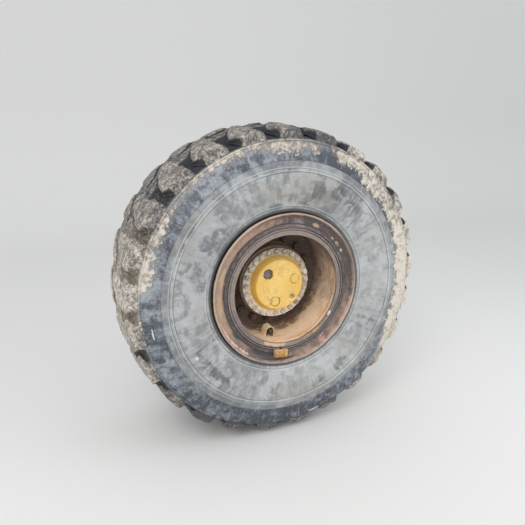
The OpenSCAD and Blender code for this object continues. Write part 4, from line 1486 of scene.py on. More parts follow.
def worn_copy(
    node: str, finish: Finish, slot: str, cut: float, body: Body = Body.WHEEL
) -> None:
    """Makes a piece that is a solid of the frame with its edges softened.

    Args:
        node: The solid that it stands for.
        finish: Its finish.
        slot: The record's material slot.
        cut: How wide its edges are softened.
        body: The body that it rides on.
    """
    name = node + "_worn"
    mesh = frame["nodes"][node].data.copy()
    mesh.name = name
    made = bmesh.new()
    made.from_mesh(mesh)
    bmesh.ops.remove_doubles(made, verts=made.verts, dist=2e-6)
    bmesh.ops.dissolve_limit(
        made, angle_limit=math.radians(1.0), verts=made.verts, edges=made.edges
    )
    bend = math.radians(28)
    edges = [e for e in made.edges if len(e.link_faces) == 2 and e.calc_face_angle(0) > bend]
    bmesh.ops.bevel(
        made, geom=edges, offset=cut, segments=2, profile=0.6, affect="EDGES", clamp_overlap=True
    )
    made.to_mesh(mesh)
    made.free()
    settle(smooth_piece(name, mesh, finish, 30), body, slot, node)


# The wheel's pieces


@dataclass(frozen=True)
class RimSizes:
    """Sizes of the rim that the tyre and the valve share: radii, and half the width."""

    seat_r: float = 0.3175
    web_r: float = 0.356
    barrel_r: float = 0.303
    barrel_in_r: float = 0.285
    half_w: float = 0.24765


RIM = RimSizes()


@dataclass
class Tyre:
    """Worn earthmover tyre: hollow casing, and lugs that meet in the middle of the tread."""

    tread_r: float = 0.790
    shoulder_r: float = 0.761
    tread_half: float = 0.254
    groove: float = 0.038
    # The worn middle: its depth, half its width, and where its slope ends.
    middle: tuple[float, float, float] = (0.012, 0.142, 0.176)
    half_section: float = 0.2975
    widest_r: float = 0.560
    side_curve: float = 0.412
    floor_edge: float = 0.229
    band_r: float = 0.716
    root_r: float = 0.703
    step_r: float = 0.621
    step_rise: float = 0.003
    # The sidewall's belt: the radii of its outer slope's two ends and of its inner step's.
    belt: tuple[float, float, float, float] = (0.603, 0.585, 0.572, 0.569)
    bead_r: float = 0.402
    ring_curl_r: float = 0.0253
    # How far in from the rim's edge the bead's toe is.
    toe: float = 0.052
    wall: float = 0.026
    lugs: int = 25
    first_lug: float = 17.5
    lean: float = 0.018
    # A lug's round top: its radius, how far it is set over, and its rise over the crown.
    hump: tuple[float, float, float] = (0.130, -0.020, 0.012)
    around_steps: int = 220
    lug_points: int = 96

    def side(self, radius: float | np.ndarray, rise: float = 0) -> float | np.ndarray:
        """Half the casing's width at a radius, with a rise over it."""
        bulge = np.sqrt(self.side_curve**2 - (radius - self.widest_r) ** 2)
        return self.half_section - self.side_curve + bulge + rise

    def crown(self, off: float | np.ndarray) -> float | np.ndarray:
        """Radius of the tread at a distance from the middle plane."""
        return self.tread_r - (self.tread_r - self.shoulder_r) * (off / self.tread_half) ** 2

    def floor(self, off: np.ndarray) -> np.ndarray:
        """Radius of the casing between the lugs.

        Args:
            off: Distance from the middle plane.

        Returns:
            The radius.
        """
        shallow, flat_end, slope_end = self.middle
        edge = self.side(self.band_r, self.step_rise)
        places = [0, flat_end / 2, flat_end, slope_end, self.floor_edge]
        depths = [shallow, shallow, shallow, self.groove, self.groove]
        heights = [self.crown(place) - depth for place, depth in zip(places, depths)]
        return np.interp(np.abs(off), [*places, edge], [*heights, self.band_r])

    def outside(self) -> list[Point]:
        """Outlines half the casing's outside, from the middle of the tread to the bead's toe.

        Returns:
            The corners: radius, distance from the middle plane, and how much each is rounded.
        """
        outer_slope, inner_slope, top_in, foot_in = self.belt
        root, step, rise = self.root_r, self.step_r, self.step_rise
        _, flat_end, slope_end = self.middle
        across = [0, 0.035, 0.071, 0.107, flat_end, slope_end, 0.203, self.floor_edge]
        middle = RIM.half_w + 0.025
        curl = [
            (RIM.web_r + self.ring_curl_r * math.sin(turn), middle - self.ring_curl_r * math.cos(turn))
            for turn in np.radians([45, 30, 15, 0])
        ]
        return [
            *((float(self.floor(off)), off, 0.004) for off in across),
            (self.band_r, self.side(self.band_r, rise), 0.008),
            (root + 0.003, self.side(root, rise), 0.001),
            (root, self.side(root, -0.001), 0.001),
            (root - 0.003, self.side(root, rise), 0.001),
            *((r, self.side(r, rise), 0.003) for r in np.linspace(root - 0.008, step + 0.006, 9)),
            (step + 0.001, self.side(step, rise), 0.001),
            (step - 0.001, self.side(step), 0.001),
            (outer_slope, self.side(outer_slope), 0.004),
            (inner_slope, self.side(inner_slope, rise), 0.003),
            (top_in, self.side(top_in, rise), 0.001),
            (foot_in, self.side(foot_in), 0.001),
            *((r, self.side(r), 0.003) for r in np.linspace(foot_in - 0.01, self.bead_r + 0.006, 15)),
            (self.bead_r, self.side(self.bead_r), 0.002),
            (self.bead_r - 0.009, self.side(self.bead_r, -0.006), 0.002),
            *((*corner, 0.001) for corner in curl),
            (RIM.seat_r + 0.006, RIM.half_w - 0.0003),
            (RIM.seat_r, RIM.half_w - 0.006),
            (RIM.seat_r - 0.004, RIM.half_w - self.toe),
        ]

    def inside(self) -> list[Point]:
        """Outlines half the casing's inside, from the bead's toe to the middle.

        Returns:
            The corners, as for the outside.
        """
        toe = RIM.half_w - self.toe
        room = self.tread_r - self.groove - 0.040
        return [
            (RIM.seat_r + 0.014, toe, 0.006),
            (RIM.web_r, toe, 0.02),
            *((r, self.side(r, -self.wall), 0.01) for r in np.linspace(0.415, 0.67, 7)),
            (room - 0.02, 0.218, 0.02),
            (room, 0.16, 0.02),
            (room, 0.05),
        ]

    def casing(self, draft: Draft) -> None:
        """Adds the hollow casing.

        Args:
            draft: The tyre's draft.
        """
        half = self.outside() + self.inside()
        mirror = [(c[0], -c[1], *c[2:]) for c in half[::-1] if abs(c[1]) > 1e-6]
        outline = rounded(half + mirror, 0.001, 2)
        outline = refined(outline, 0.016)
        tread = np.clip((outline[:, 0] - self.band_r + 0.004) / 0.006, 0, 1)
        _, flat_end, slope_end = self.middle
        raised = np.interp(np.abs(outline[:, 1]), [flat_end - 0.02, slope_end - 0.01], [0.8, 0.0])
        outline[:, 1] += MIDDLE
        draft.lathe(outline, self.around_steps, traits={"raised": raised, "tread": tread})

    def lug_outline(self) -> np.ndarray:
        """Draws the plan of one lug.

        Returns:
            Its points: distance along the tread, and distance from the middle plane.
        """
        lean = self.lean
        end = float(self.side(self.band_r, self.step_rise))
        corners = [
            (-0.058, end, 0.010), (0.058, end, 0.024), (0.058, 0.150, 0.03),
            (lean + 0.042, 0.018, 0.02), (lean + 0.026, -0.018, 0.014), (lean - 0.026, -0.018, 0.014),
            (lean - 0.042, 0.018, 0.02), (-0.088, 0.150, 0.02), (-0.098, 0.195, 0.02),
        ]
        return evenly(rounded(corners, 0.02, 6), self.lug_points)

    def top(self, aside: np.ndarray, off: np.ndarray) -> np.ndarray:
        """Height of a lug's top over the axle, measured at the lug.

        Args:
            aside: Distance along the tread from the lug's middle.
            off: Distance from the middle plane.

        Returns:
            The heights.
        """
        crown = self.crown(np.abs(off))
        flat = np.sqrt(crown**2 - aside**2)
        drop = (self.tread_r - self.shoulder_r) / self.tread_half
        hump_r, set_over, rise = self.hump
        hump = self.tread_r + rise - hump_r - off * drop
        hump = hump + np.sqrt(np.clip(hump_r**2 - (aside - set_over) ** 2, 1e-6, None))
        blend = 0.004
        return 0.5 * (flat + hump - np.sqrt((flat - hump) ** 2 + blend**2))

    def build(self) -> None:
        """Makes the tyre."""
        draw = np.random.default_rng(11)
        pitch = 360 / self.lugs
        back = math.degrees(self.lean / self.tread_r)
        casing, outer, inner = Draft(), Draft(), Draft()
        self.casing(casing)
        for index in range(self.lugs):
            Lug(self, 1, draw).add_to(outer, self.first_lug + index * pitch)
            Lug(self, -1, draw).add_to(inner, self.first_lug + (index + 0.5) * pitch - 2 * back)
        dents = ((3, 0.16, 0.0018), (4, 0.035, 0.0008))
        casing.build("tyre_casing", FINISHES.tyre, "tyre_rubber", "tyre", dents=dents, sharp=42)
        dents = ((3, 0.16, 0.0022), (4, 0.035, 0.0022), (5, 0.016, 0.0012))
        for draft, name in ((outer, "outer_lugs"), (inner, "inner_lugs")):
            draft.build(name, FINISHES.tyre, "tyre_rubber", dents=dents, sharp=50)


class Lug:
    """One lug as rows of points, from its foot up its sides and in to the middle of its top."""

    # How high the foot's rows are, and how far each is set in from the plan.
    foot: Line = ((0.0, -0.012), (0.004, -0.006), (0.010, -0.002), (0.018, 0.0))
    # The spine's end near the shoulder, and how far from the middle plane its other end is.
    spine_start: Point = (-0.012, 0.205)
    spine_end: float = 0.03
    spine_shares: Point = (0.12, 0.26, 0.42, 0.6, 0.8, 1.0)
    lean_in: float = 0.012

    def __init__(self, tyre: Tyre, flip: int, draw: np.random.Generator) -> None:
        """Takes the plan from the tyre, draws the lug's own wear, and makes the rows.

        Args:
            tyre: The tyre.
            flip: 1 on the outboard side, -1 on the inboard side.
            draw: Where its own wear comes from.
        """
        self.tyre = tyre
        self.flip = flip
        self.plan = tyre.lug_outline()
        step = np.roll(self.plan, -1, axis=0) - np.roll(self.plan, 1, axis=0)
        self.inward = np.stack([step[:, 1], -step[:, 0]], axis=1)
        self.inward /= np.linalg.norm(self.inward, axis=1)[:, None]
        if ((self.plan.mean(axis=0) - self.plan) * self.inward).sum() < 0:
            self.inward = -self.inward
        self.worn, self.tilt = draw.uniform(0.0, 0.003), draw.uniform(-0.02, 0.04)
        trailing = np.clip((self.plan[:, 0] - 0.01) / 0.05, 0, 1)
        self.soft = draw.uniform(0.006, 0.009) + 0.010 * trailing
        self.end_face = np.clip((self.plan[:, 1] - 0.250) / 0.010, 0, 1)
        self.base = tyre.floor(self.plan[:, 1]) - 0.004
        self.reach = np.maximum(self.height(self.plan) - self.base, 0.003)
        self.rows: list[np.ndarray] = []
        self.levels: list[np.ndarray] = []
        self.sides()
        self.edge()
        self.top()

    def height(self, plan: np.ndarray) -> np.ndarray:
        """Height of the worn top over the axle at points of the plan."""
        return self.tyre.top(plan[:, 0], plan[:, 1]) - self.worn + self.tilt * plan[:, 0] * self.flip

    def leant(self, plan: np.ndarray, share: np.ndarray | float) -> np.ndarray:
        """Leans the lug's outer end in as it goes up.

        Args:
            plan: Points of the plan.
            share: How far up they are, 0 to 1.

        Returns:
            The points at that height.
        """
        moved = plan.copy()
        moved[:, 1] -= self.lean_in * share * np.clip((plan[:, 1] - 0.23) / 0.03, 0, 1)
        return moved

    def put(self, height: np.ndarray, plan: np.ndarray, level: np.ndarray | float) -> None:
        """Keeps one row of points, with how far up the lug they are for the dust and for the pockets'
        painted shade.
        """
        self.rows.append(np.column_stack([plan, height]))
        self.levels.append(np.broadcast_to(level, len(plan)))

    def sides(self) -> None:
        """Adds the rows from the spread foot to halfway up."""
        for height, inset in self.foot:
            share = np.minimum(height / self.reach, 0.6)
            foot = self.plan + self.inward * (inset * (1 - 0.8 * self.end_face))[:, None]
            level = np.maximum(share * 0.8, self.end_face * 0.85)
            self.put(self.base + share * self.reach, self.leant(foot, share), level)
        level = np.maximum(0.5, self.end_face * 0.88)
        self.put(self.base + 0.5 * self.reach, self.leant(self.plan, 0.5), level)

    def edge(self) -> None:
        """Adds the worn round edge of the top."""
        for turn in np.linspace(0, math.pi / 2, 5):
            inset = 0.001 + self.soft * (1 - math.cos(turn))
            spot = self.leant(self.plan + self.inward * inset[:, None], 1.0)
            high = self.height(spot) - self.soft * 0.8 * (1 - math.sin(turn))
            level = np.maximum(0.80 + 0.20 * math.sin(turn), self.end_face * 0.9)
            self.put(np.maximum(high, self.base + 0.6 * self.reach), spot, level)

    def top(self) -> None:
        """Closes the top towards a spine in its middle."""
        rim = self.rows[-1][:, :2]
        start = np.array(self.spine_start)
        aim = np.array([self.tyre.lean, self.spine_end]) - start
        along = np.clip(((rim - start) @ aim) / (aim @ aim), 0, 1)
        spine = start + along[:, None] * aim
        for share in self.spine_shares:
            spot = rim + (spine - rim) * share
            self.put(self.height(spot), spot, 1.0)

    def add_to(self, draft: Draft, angle: float) -> None:
        """Adds the lug to the draft of its side's lugs.

        Args:
            draft: The draft.
            angle: The lug's angle in degrees.
        """
        layers = np.stack(self.rows)
        aside, off = layers[..., 0] * self.flip, layers[..., 1] * self.flip
        points = Spot(0.0, angle).put(aside, layers[..., 2], MIDDLE + off)
        first = draft.count
        traits = {"raised": np.stack(self.levels), "tread": np.ones(points.shape[:2])}
        draft.grid(points, False, False, traits)
        draft.faces.append(tuple(range(first, first + len(self.plan))))


@dataclass
class Rim:
    """Five-piece rim: barrel, two side rings, bead seat band and lock ring, with the key."""

    ring_t: float = 0.011
    curl_r: float = 0.025
    lip_r: float = 0.327
    # The bead seat's inner end: its radius, how far in it is, and the slope down to the barrel.
    seat_in_r: float = 0.3132
    seat_depth: float = 0.049
    seat_slope: float = 0.014
    gutter_lip_r: float = 0.297
    gutter_in_r: float = 0.272
    # How deep the gutter's bore goes in, and how deep the slope after it.
    gutter: tuple[float, float] = (0.028, 0.050)
    flange_t: float = 0.018
    groove_r: float = 0.290
    lock_r: float = 0.308
    ring_face: float = 0.25865
    band_end: float = 0.26765
    groove_out: float = 0.25765
    groove_in: float = 0.24465
    gutter_end: float = 0.26565
    key_angle: float = 264
    gap: float = 0.0003
    fine: int = 288

    def turned(
        self, corners: Sequence[Point], finish: Finish, longest: float, dents: Dents, slot: str,
        nodes: Sequence[str], sweep: tuple[float, float] = (0, 360),
    ) -> None:
        """Turns one piece of the rim, named after the first of its solids.

        Args:
            corners: Its corners: radius, distance from the middle plane and, if wanted, the cut.
            finish: Its finish.
            longest: The longest edge of its section.
            dents: How it is worn.
            slot: The record's material slot.
            nodes: The solids that it stands for.
            sweep: The angle that it starts at and how far it goes round.
        """
        outline = refined(rounded(corners, 0.0015, 3), longest)
        outline[:, 1] += MIDDLE
        draft = Draft()
        draft.lathe(outline, self.fine, *sweep)
        draft.build(nodes[0] + "_worn", finish, slot, *nodes, dents=dents)

    def barrel(self) -> None:
        """Makes the barrel, with a thin groove round the gutter's end."""
        out = self.gutter_end
        lip = self.ring_face + self.flange_t
        seat_in = RIM.half_w - self.seat_depth
        mark_r, mark = self.gutter_lip_r - 0.0125, 0.0015
        bore, slope = self.gutter
        corners: list[Point] = [
            (RIM.barrel_in_r, -lip), (self.lip_r, -lip), (self.lip_r, -self.ring_face),
            (RIM.seat_r, -self.ring_face), (RIM.seat_r, -RIM.half_w),
            (self.seat_in_r, -seat_in), (RIM.barrel_r, -seat_in + self.seat_slope),
            (RIM.barrel_r, self.groove_in), (self.groove_r, self.groove_in),
            (self.groove_r, self.groove_out), (self.gutter_lip_r, self.groove_out),
            (self.gutter_lip_r, out, 0.003), (mark_r + mark, out, 0.002),
            (mark_r, out - mark, 0.001), (mark_r - mark, out, 0.001),
            (self.gutter_in_r, out, 0.004), (self.gutter_in_r, out - bore, 0.004),
            (RIM.barrel_in_r, out - slope, 0.008), (RIM.barrel_in_r, 0.10),
            (RIM.barrel_in_r, 0.02), (RIM.barrel_in_r, -0.10),
        ]
        dents = ((21, 0.10, 0.0010), (22, 0.02, 0.0005))
        nodes = ("rim_barrel", "gutter_section")
        self.turned(corners, FINISHES.barrel, 0.012, dents, "rusty_rim", nodes)

    def side_ring(self, node: str, side: int) -> None:
        """Makes one side ring.

        Args:
            node: The solid that it stands for.
            side: 1 for the outboard one, -1 for the other.
        """
        lip = self.ring_t / 2
        middle_r, middle_off = RIM.web_r, RIM.half_w + self.curl_r
        section: list[Point] = [(RIM.seat_r + self.gap, RIM.half_w)]
        for turn in np.radians(np.arange(0, 91, 10)):
            section.append((
                middle_r + self.curl_r * math.sin(turn), middle_off - self.curl_r * math.cos(turn), 0
            ))
        lip_r = middle_r + self.curl_r - lip
        for turn in np.radians(np.arange(20, 161, 20)):
            section.append((lip_r + lip * math.cos(turn), middle_off + lip * math.sin(turn), 0))
        inner = self.curl_r - self.ring_t
        for turn in np.radians(np.arange(90, -1, -15)):
            section.append((
                middle_r + inner * math.sin(turn), middle_off - inner * math.cos(turn), 0
            ))
        section.append((RIM.seat_r + self.gap, self.ring_face))
        corners = [(c[0], side * c[1], *c[2:]) for c in section]
        dents = ((31, 0.09, 0.0016), (32, 0.025, 0.0008))
        self.turned(corners, FINISHES.ring, 0.006, dents, "rusty_ring", (node,))

    def band(self) -> None:
        """Makes the bead seat band."""
        start = RIM.half_w - self.seat_depth
        corners: list[Point] = [
            (RIM.barrel_r + self.gap, start), (self.seat_in_r, start), (RIM.seat_r, RIM.half_w),
            (RIM.seat_r, self.ring_face), (self.lip_r, self.ring_face),
            (self.lip_r, self.band_end, 0.003), (self.lock_r + self.gap, self.band_end, 0.002),
            (self.lock_r + self.gap, self.groove_in),
            (RIM.barrel_r + self.gap, self.groove_in - 0.006),
        ]
        dents = ((41, 0.05, 0.0010), (42, 0.018, 0.0006))
        self.turned(corners, FINISHES.band, 0.008, dents, "rusty_band", ("bead_seat_band",))

    def lock_ring(self) -> None:
        """Makes the split lock ring."""
        half_split = math.degrees(0.006 / self.groove_r)
        start, end = self.groove_in + self.gap, self.groove_out - self.gap
        inner = self.gutter_lip_r + 0.0015
        corners: list[Point] = [
            (self.groove_r + self.gap, start), (self.lock_r, start),
            (self.lock_r, self.band_end, 0.003), (inner, self.band_end, 0.003),
            (inner, end), (self.groove_r + self.gap, end),
        ]
        dents = ((51, 0.06, 0.0008), (52, 0.02, 0.0005))
        sweep = (self.key_angle + half_split, 360 - 2 * half_split)
        self.turned(corners, FINISHES.lock, 0.006, dents, "dark_rust", ("lock_ring",), sweep)

    def build(self) -> None:
        """Makes the rim's pieces."""
        self.barrel()
        self.side_ring("outer_side_ring", 1)
        self.side_ring("inner_side_ring", -1)
        self.band()
        self.lock_ring()
        worn_copy("lock_key", FINISHES.key, "orange_rust", 0.0025)


@dataclass
class DiscAndBolts:
    """The wheel disc deep in the rim, its weld and its bolts."""

    out: float = 0.350
    thick: float = 0.018
    hole_r: float = 0.200
    edge_r: float = 0.2847
    weld: float = 0.010
    # A weld bead's middle, in from the edge and out from the face, and half its thickness.
    bead: tuple[float, float, float] = (0.0055, 0.0035, 0.0052)
    bolts: int = 16
    circle: float = 0.225
    corner: float = 0.019
    washer: float = 0.005
    nut: float = 0.022
    thread: float = 0.009
    shank: float = 0.011
    flange_in: float = 0.306
    head: float = 0.012

    def disc(self) -> None:
        """Makes the disc with its weld beads."""
        back = self.out - self.thick
        edge, weld = self.edge_r, self.weld
        outline = refined(rounded([
            (self.hole_r, back), (edge - weld, back), (edge, back - weld), (edge, self.out + weld),
            (edge - weld, self.out), (self.hole_r, self.out, 0.003),
        ], 0.002), 0.01)
        draft = Draft()
        draft.lathe(outline, 240)
        inset, proud, thick = self.bead
        draft.bead(edge - inset, self.out + proud, thick, 61)
        draft.bead(edge - inset, back - proud, thick, 62)
        draft.build("wheel_disc_welded", FINISHES.dark_rust, "dark_rust", "wheel_disc")

    def wheel_bolts(self) -> None:
        """Makes the bolts: head, shank, washer, nut and a stub of thread."""
        draft = Draft()
        draw = np.random.default_rng(7)
        nut_face = self.out + self.washer
        end = nut_face + self.nut + self.thread
        ridges = [(self.shank - 0.0007 * (k % 2), nut_face + 0.012 + k * 0.0012) for k in range(14)]
        corner, face = self.corner, self.flange_in
        for spot in ring_of(self.bolts, self.circle):
            draft.stack(spot, [
                (corner * 0.6, face - self.head), (corner * 0.94, face - 0.010),
                (corner, face - 0.008), (corner, face), (self.shank, face), *ridges,
                (self.shank - 0.0015, end - 0.0015), (self.shank - 0.003, end), (0.004, end),
            ], 24)
            draft.washer(spot, corner + 0.003, self.out, self.washer)
            draft.hexagon(spot, corner, nut_face, self.nut, draw.uniform(0, 60))
        draft.build("wheel_bolts_and_nuts", FINISHES.old_bolts, "old_bolts", "wheel_bolts")

    def build(self) -> None:
        """Makes the disc and its bolts."""
        self.disc()
        self.wheel_bolts()


@dataclass
class Valve:
    """The tyre's valve with its domed cap, under an arched guard."""

    angle: float = 262
    radius: float = 0.258
    reach: float = 0.152
    length: float = 0.085
    cap_r: float = 0.016
    cap_l: float = 0.022
    stem_r: float = 0.008
    elbow_r: float = 0.014
    weld_r: float = 0.0033
    guard_half: float = 0.025
    guard_t: float = 0.005
    guard_l: float = 0.055
    guard_back: float = 0.006

    def valve(self) -> None:
        """Makes the cap, the stem and the elbow."""
        draft = Draft()
        spot = Spot(self.radius, self.angle)
        tip = MIDDLE + self.reach
        foot = tip - self.cap_l
        turns = np.linspace(0, TURN, 60, endpoint=False)
        grip = self.cap_r - 0.0006 * (np.cos(turns * 20) > 0)
        dome = [
            (self.cap_r * math.cos(t), tip + self.cap_r * math.sin(t))
            for t in np.linspace(0.12, 1.53, 8)
        ]
        draft.stack(spot, [
            (self.stem_r, foot), (self.cap_r - 0.002, foot), (grip, foot + 0.002), (grip, tip - 0.004),
            (self.cap_r - 0.0012, tip - 0.003), (self.cap_r - 0.0012, tip - 0.001), (self.cap_r, tip),
            *dome,
        ], 60)
        elbow = tip - self.length
        bend = np.linspace(0, math.pi / 2, 8)
        root = RIM.barrel_r + 0.002 - self.radius
        ups = [0, 0, *(self.elbow_r * (1 - np.cos(bend))), root]
        outs = [foot + 0.004, elbow + 0.02, *(elbow + self.elbow_r * (1 - np.sin(bend))), elbow]
        path = spot.put(np.zeros(len(ups)), np.array(ups), np.array(outs))
        draft.tube(path, np.full(len(path), self.stem_r))
        draft.washer(spot, self.stem_r + 0.004, foot - 0.012, 0.007)
        draft.build("valve_with_cap", FINISHES.cap, "black_cap", "valve")

    def guard(self) -> None:
        """Makes the guard: an arched plate with soft edges, and its weld along the barrel."""
        draft = Draft()
        spot = Spot(self.radius, self.angle)
        mouth = MIDDLE + self.reach - self.guard_back
        middle_r = self.guard_half - self.guard_t / 2
        arch = np.linspace(0, math.pi, 25)
        leg = np.linspace(1, 0, 5)[:-1]
        rise = math.sqrt(RIM.barrel_in_r**2 - self.guard_half**2) - self.radius - 0.0006
        aside = np.concatenate([np.full(4, -middle_r), -middle_r * np.cos(arch), np.full(4, middle_r)])
        up = np.concatenate([rise * leg, -middle_r * np.sin(arch), rise * leg[::-1]])
        path = np.stack([aside, up], axis=1)
        step = np.gradient(path, axis=0)
        normal = np.stack([-step[:, 1], step[:, 0]], axis=1)
        normal /= np.linalg.norm(normal, axis=1)[:, None]
        section = rounded([
            (-self.guard_t / 2, 0), (self.guard_t / 2, 0),
            (self.guard_t / 2, self.guard_l), (-self.guard_t / 2, self.guard_l),
        ], 0.0015)
        section = refined(section, 0.008)
        rows = []
        for here, aim in zip(path, normal):
            flat = here + aim * section[:, :1]
            rows.append(spot.put(flat[:, 0], flat[:, 1], mouth - section[:, 1]))
        draft.grid(np.stack(rows), False, True)
        along = np.linspace(mouth - 0.004, mouth - self.guard_l + 0.004, 24)
        weld = self.weld_r + 0.0006 * np.abs(np.sin(np.arange(24) * 1.4))
        foot = np.full(24, self.guard_half + 0.0004)
        for side in (-1, 1):
            draft.tube(spot.put(side * foot, np.full(24, rise - 0.001), along), weld, 10)
        dents = ((71, 0.02, 0.0005),)
        draft.build("valve_guard_worn", FINISHES.guard, "guard_paint", "valve_guard", dents=dents)

    def build(self) -> None:
        """Makes the valve and its guard."""
        self.valve()
        self.guard()


@dataclass
class Hub:
    """Planetary hub: casting, bolted cover, bolts, pin plugs and oil plug."""

    # Radii of the spindle's two seats, and the distance out where the wider one ends.
    seats: tuple[float, float] = (0.08505, 0.07005)
    seat_end: float = 0.262
    # The foot that carries the brake disc, and the neck above it.
    foot_in: float = 0.152
    foot_r: float = 0.136
    foot_out: float = 0.170
    neck_r: float = 0.120
    neck: tuple[float, float] = (0.186, 0.276)
    # The flange under the wheel disc, and the shoulder that the disc sits on.
    flange_r: float = 0.252
    flange_edge_r: float = 0.150
    flange: tuple[float, float] = (0.306, 0.332)
    shoulder_r: float = 0.1997
    shoulder_out: float = 0.356
    drum_r: float = 0.184
    drum_out: float = 0.372
    collar_r: float = 0.190
    collar_in: float = 0.414
    drum_end: float = 0.438
    pocket_r: float = 0.110
    pocket_in: float = 0.400
    cover_edge: float = 0.460
    cover_face: float = 0.500
    bolts: int = 24
    bolt_circle: float = 0.165
    bolt_corner: float = 0.0135
    pin_circle: float = 0.088
    pin_r: float = 0.024
    pin_angle: float = 16
    pins: int = 3
    sunk: float = 0.001
    bare_sunk: float = 0.007
    hole_depth: float = 0.014
    plug_spot: Spot = Spot(0.097, 319)
    plug_r: float = 0.015

    def casting(self) -> None:
        """Makes the hub's casting."""
        wide, narrow = self.seats
        neck_in, neck_out = self.neck
        flange_in, flange_out = self.flange
        corners: list[Point] = [
            (wide, self.foot_in), (self.foot_r, self.foot_in, 0.003),
            (self.foot_r, self.foot_out, 0.003), (self.neck_r, neck_in, 0.006),
            (self.neck_r, neck_out, 0.01), (self.flange_edge_r, flange_in, 0.01),
            (self.flange_r, flange_in, 0.004), (self.flange_r, flange_out),
            (self.shoulder_r, flange_out), (self.shoulder_r, self.shoulder_out, 0.003),
            (self.drum_r, self.drum_out, 0.006), (self.drum_r, self.collar_in, 0.004),
            (self.collar_r, self.collar_in, 0.002), (self.collar_r, self.drum_end, 0.003),
            (self.pocket_r, self.drum_end), (self.pocket_r, self.pocket_in, 0.004),
            (narrow, self.pocket_in), (narrow, self.seat_end), (wide, self.seat_end),
        ]
        draft = Draft()
        draft.lathe(refined(rounded(corners, 0.001), 0.012), 216)
        draft.build("hub_casting", FINISHES.hub, "hub_iron", "hub")

    def cover(self) -> None:
        """Makes the painted cover and its bolts."""
        worn_copy("planet_cover", FINISHES.cover, "yellow_paint", 0.002)
        draft = Draft()
        draw = np.random.default_rng(5)
        for spot in ring_of(self.bolts, self.bolt_circle):
            draft.washer(spot, self.bolt_corner + 0.001, self.cover_edge, 0.002)
            draft.hexagon(
                spot, self.bolt_corner, self.cover_edge + 0.002, 0.010, draw.uniform(0, 60), 0.0008
            )
        draft.build("cover_bolt_heads", FINISHES.dusty_bolts, "dusty_bolts", "cover_bolts")

    def pin_plugs(self) -> None:
        """Makes the planet pins' plugs, the second of them bare."""
        painted, bare = Draft(), Draft()
        back, edge = self.cover_face - self.hole_depth, self.pin_r
        for index, spot in enumerate(ring_of(self.pins, self.pin_circle, self.pin_angle)):
            is_bare = index == 1
            face = self.cover_face - (self.bare_sunk if is_bare else self.sunk)
            (bare if is_bare else painted).stack(spot, [
                (edge - 0.001, back), (edge, back + 0.001), (edge, face - 0.0015),
                (edge - 0.0015, face), (edge * 0.62, face), (edge * 0.58, face - 0.0008),
                (0.0040, face - 0.0008), (0.0020, face - 0.0030),
            ], 56)
        painted.build("planet_pin_plugs_painted", FINISHES.pins, "pin_paint", "planet_pin_plugs")
        bare.build("planet_pin_plug_bare", FINISHES.bare_pin, "pin_paint")

    def oil_plug(self) -> None:
        """Makes the oil plug with its socket."""
        draft = Draft()
        end = self.cover_face + 0.003
        turns = np.linspace(0, TURN, 48, endpoint=False)
        socket = self.plug_r * 0.5 * math.cos(math.pi / 6) / np.cos((turns % (TURN / 6)) - math.pi / 6)
        draft.stack(self.plug_spot, [
            (self.plug_r - 0.001, self.cover_face - 0.010), (self.plug_r, self.cover_face - 0.009),
            (self.plug_r, end - 0.001), (self.plug_r - 0.0015, end), (socket + 0.001, end),
            (socket, end - 0.001), (socket, end - 0.007), (socket * 0.3, end - 0.0078),
        ], 48, 12)
        draft.build("oil_plug_worn", FINISHES.plug, "plug_steel", "oil_plug")

    def build(self) -> None:
        """Makes the hub's pieces."""
        self.casting()
        self.cover()
        self.pin_plugs()
        self.oil_plug()


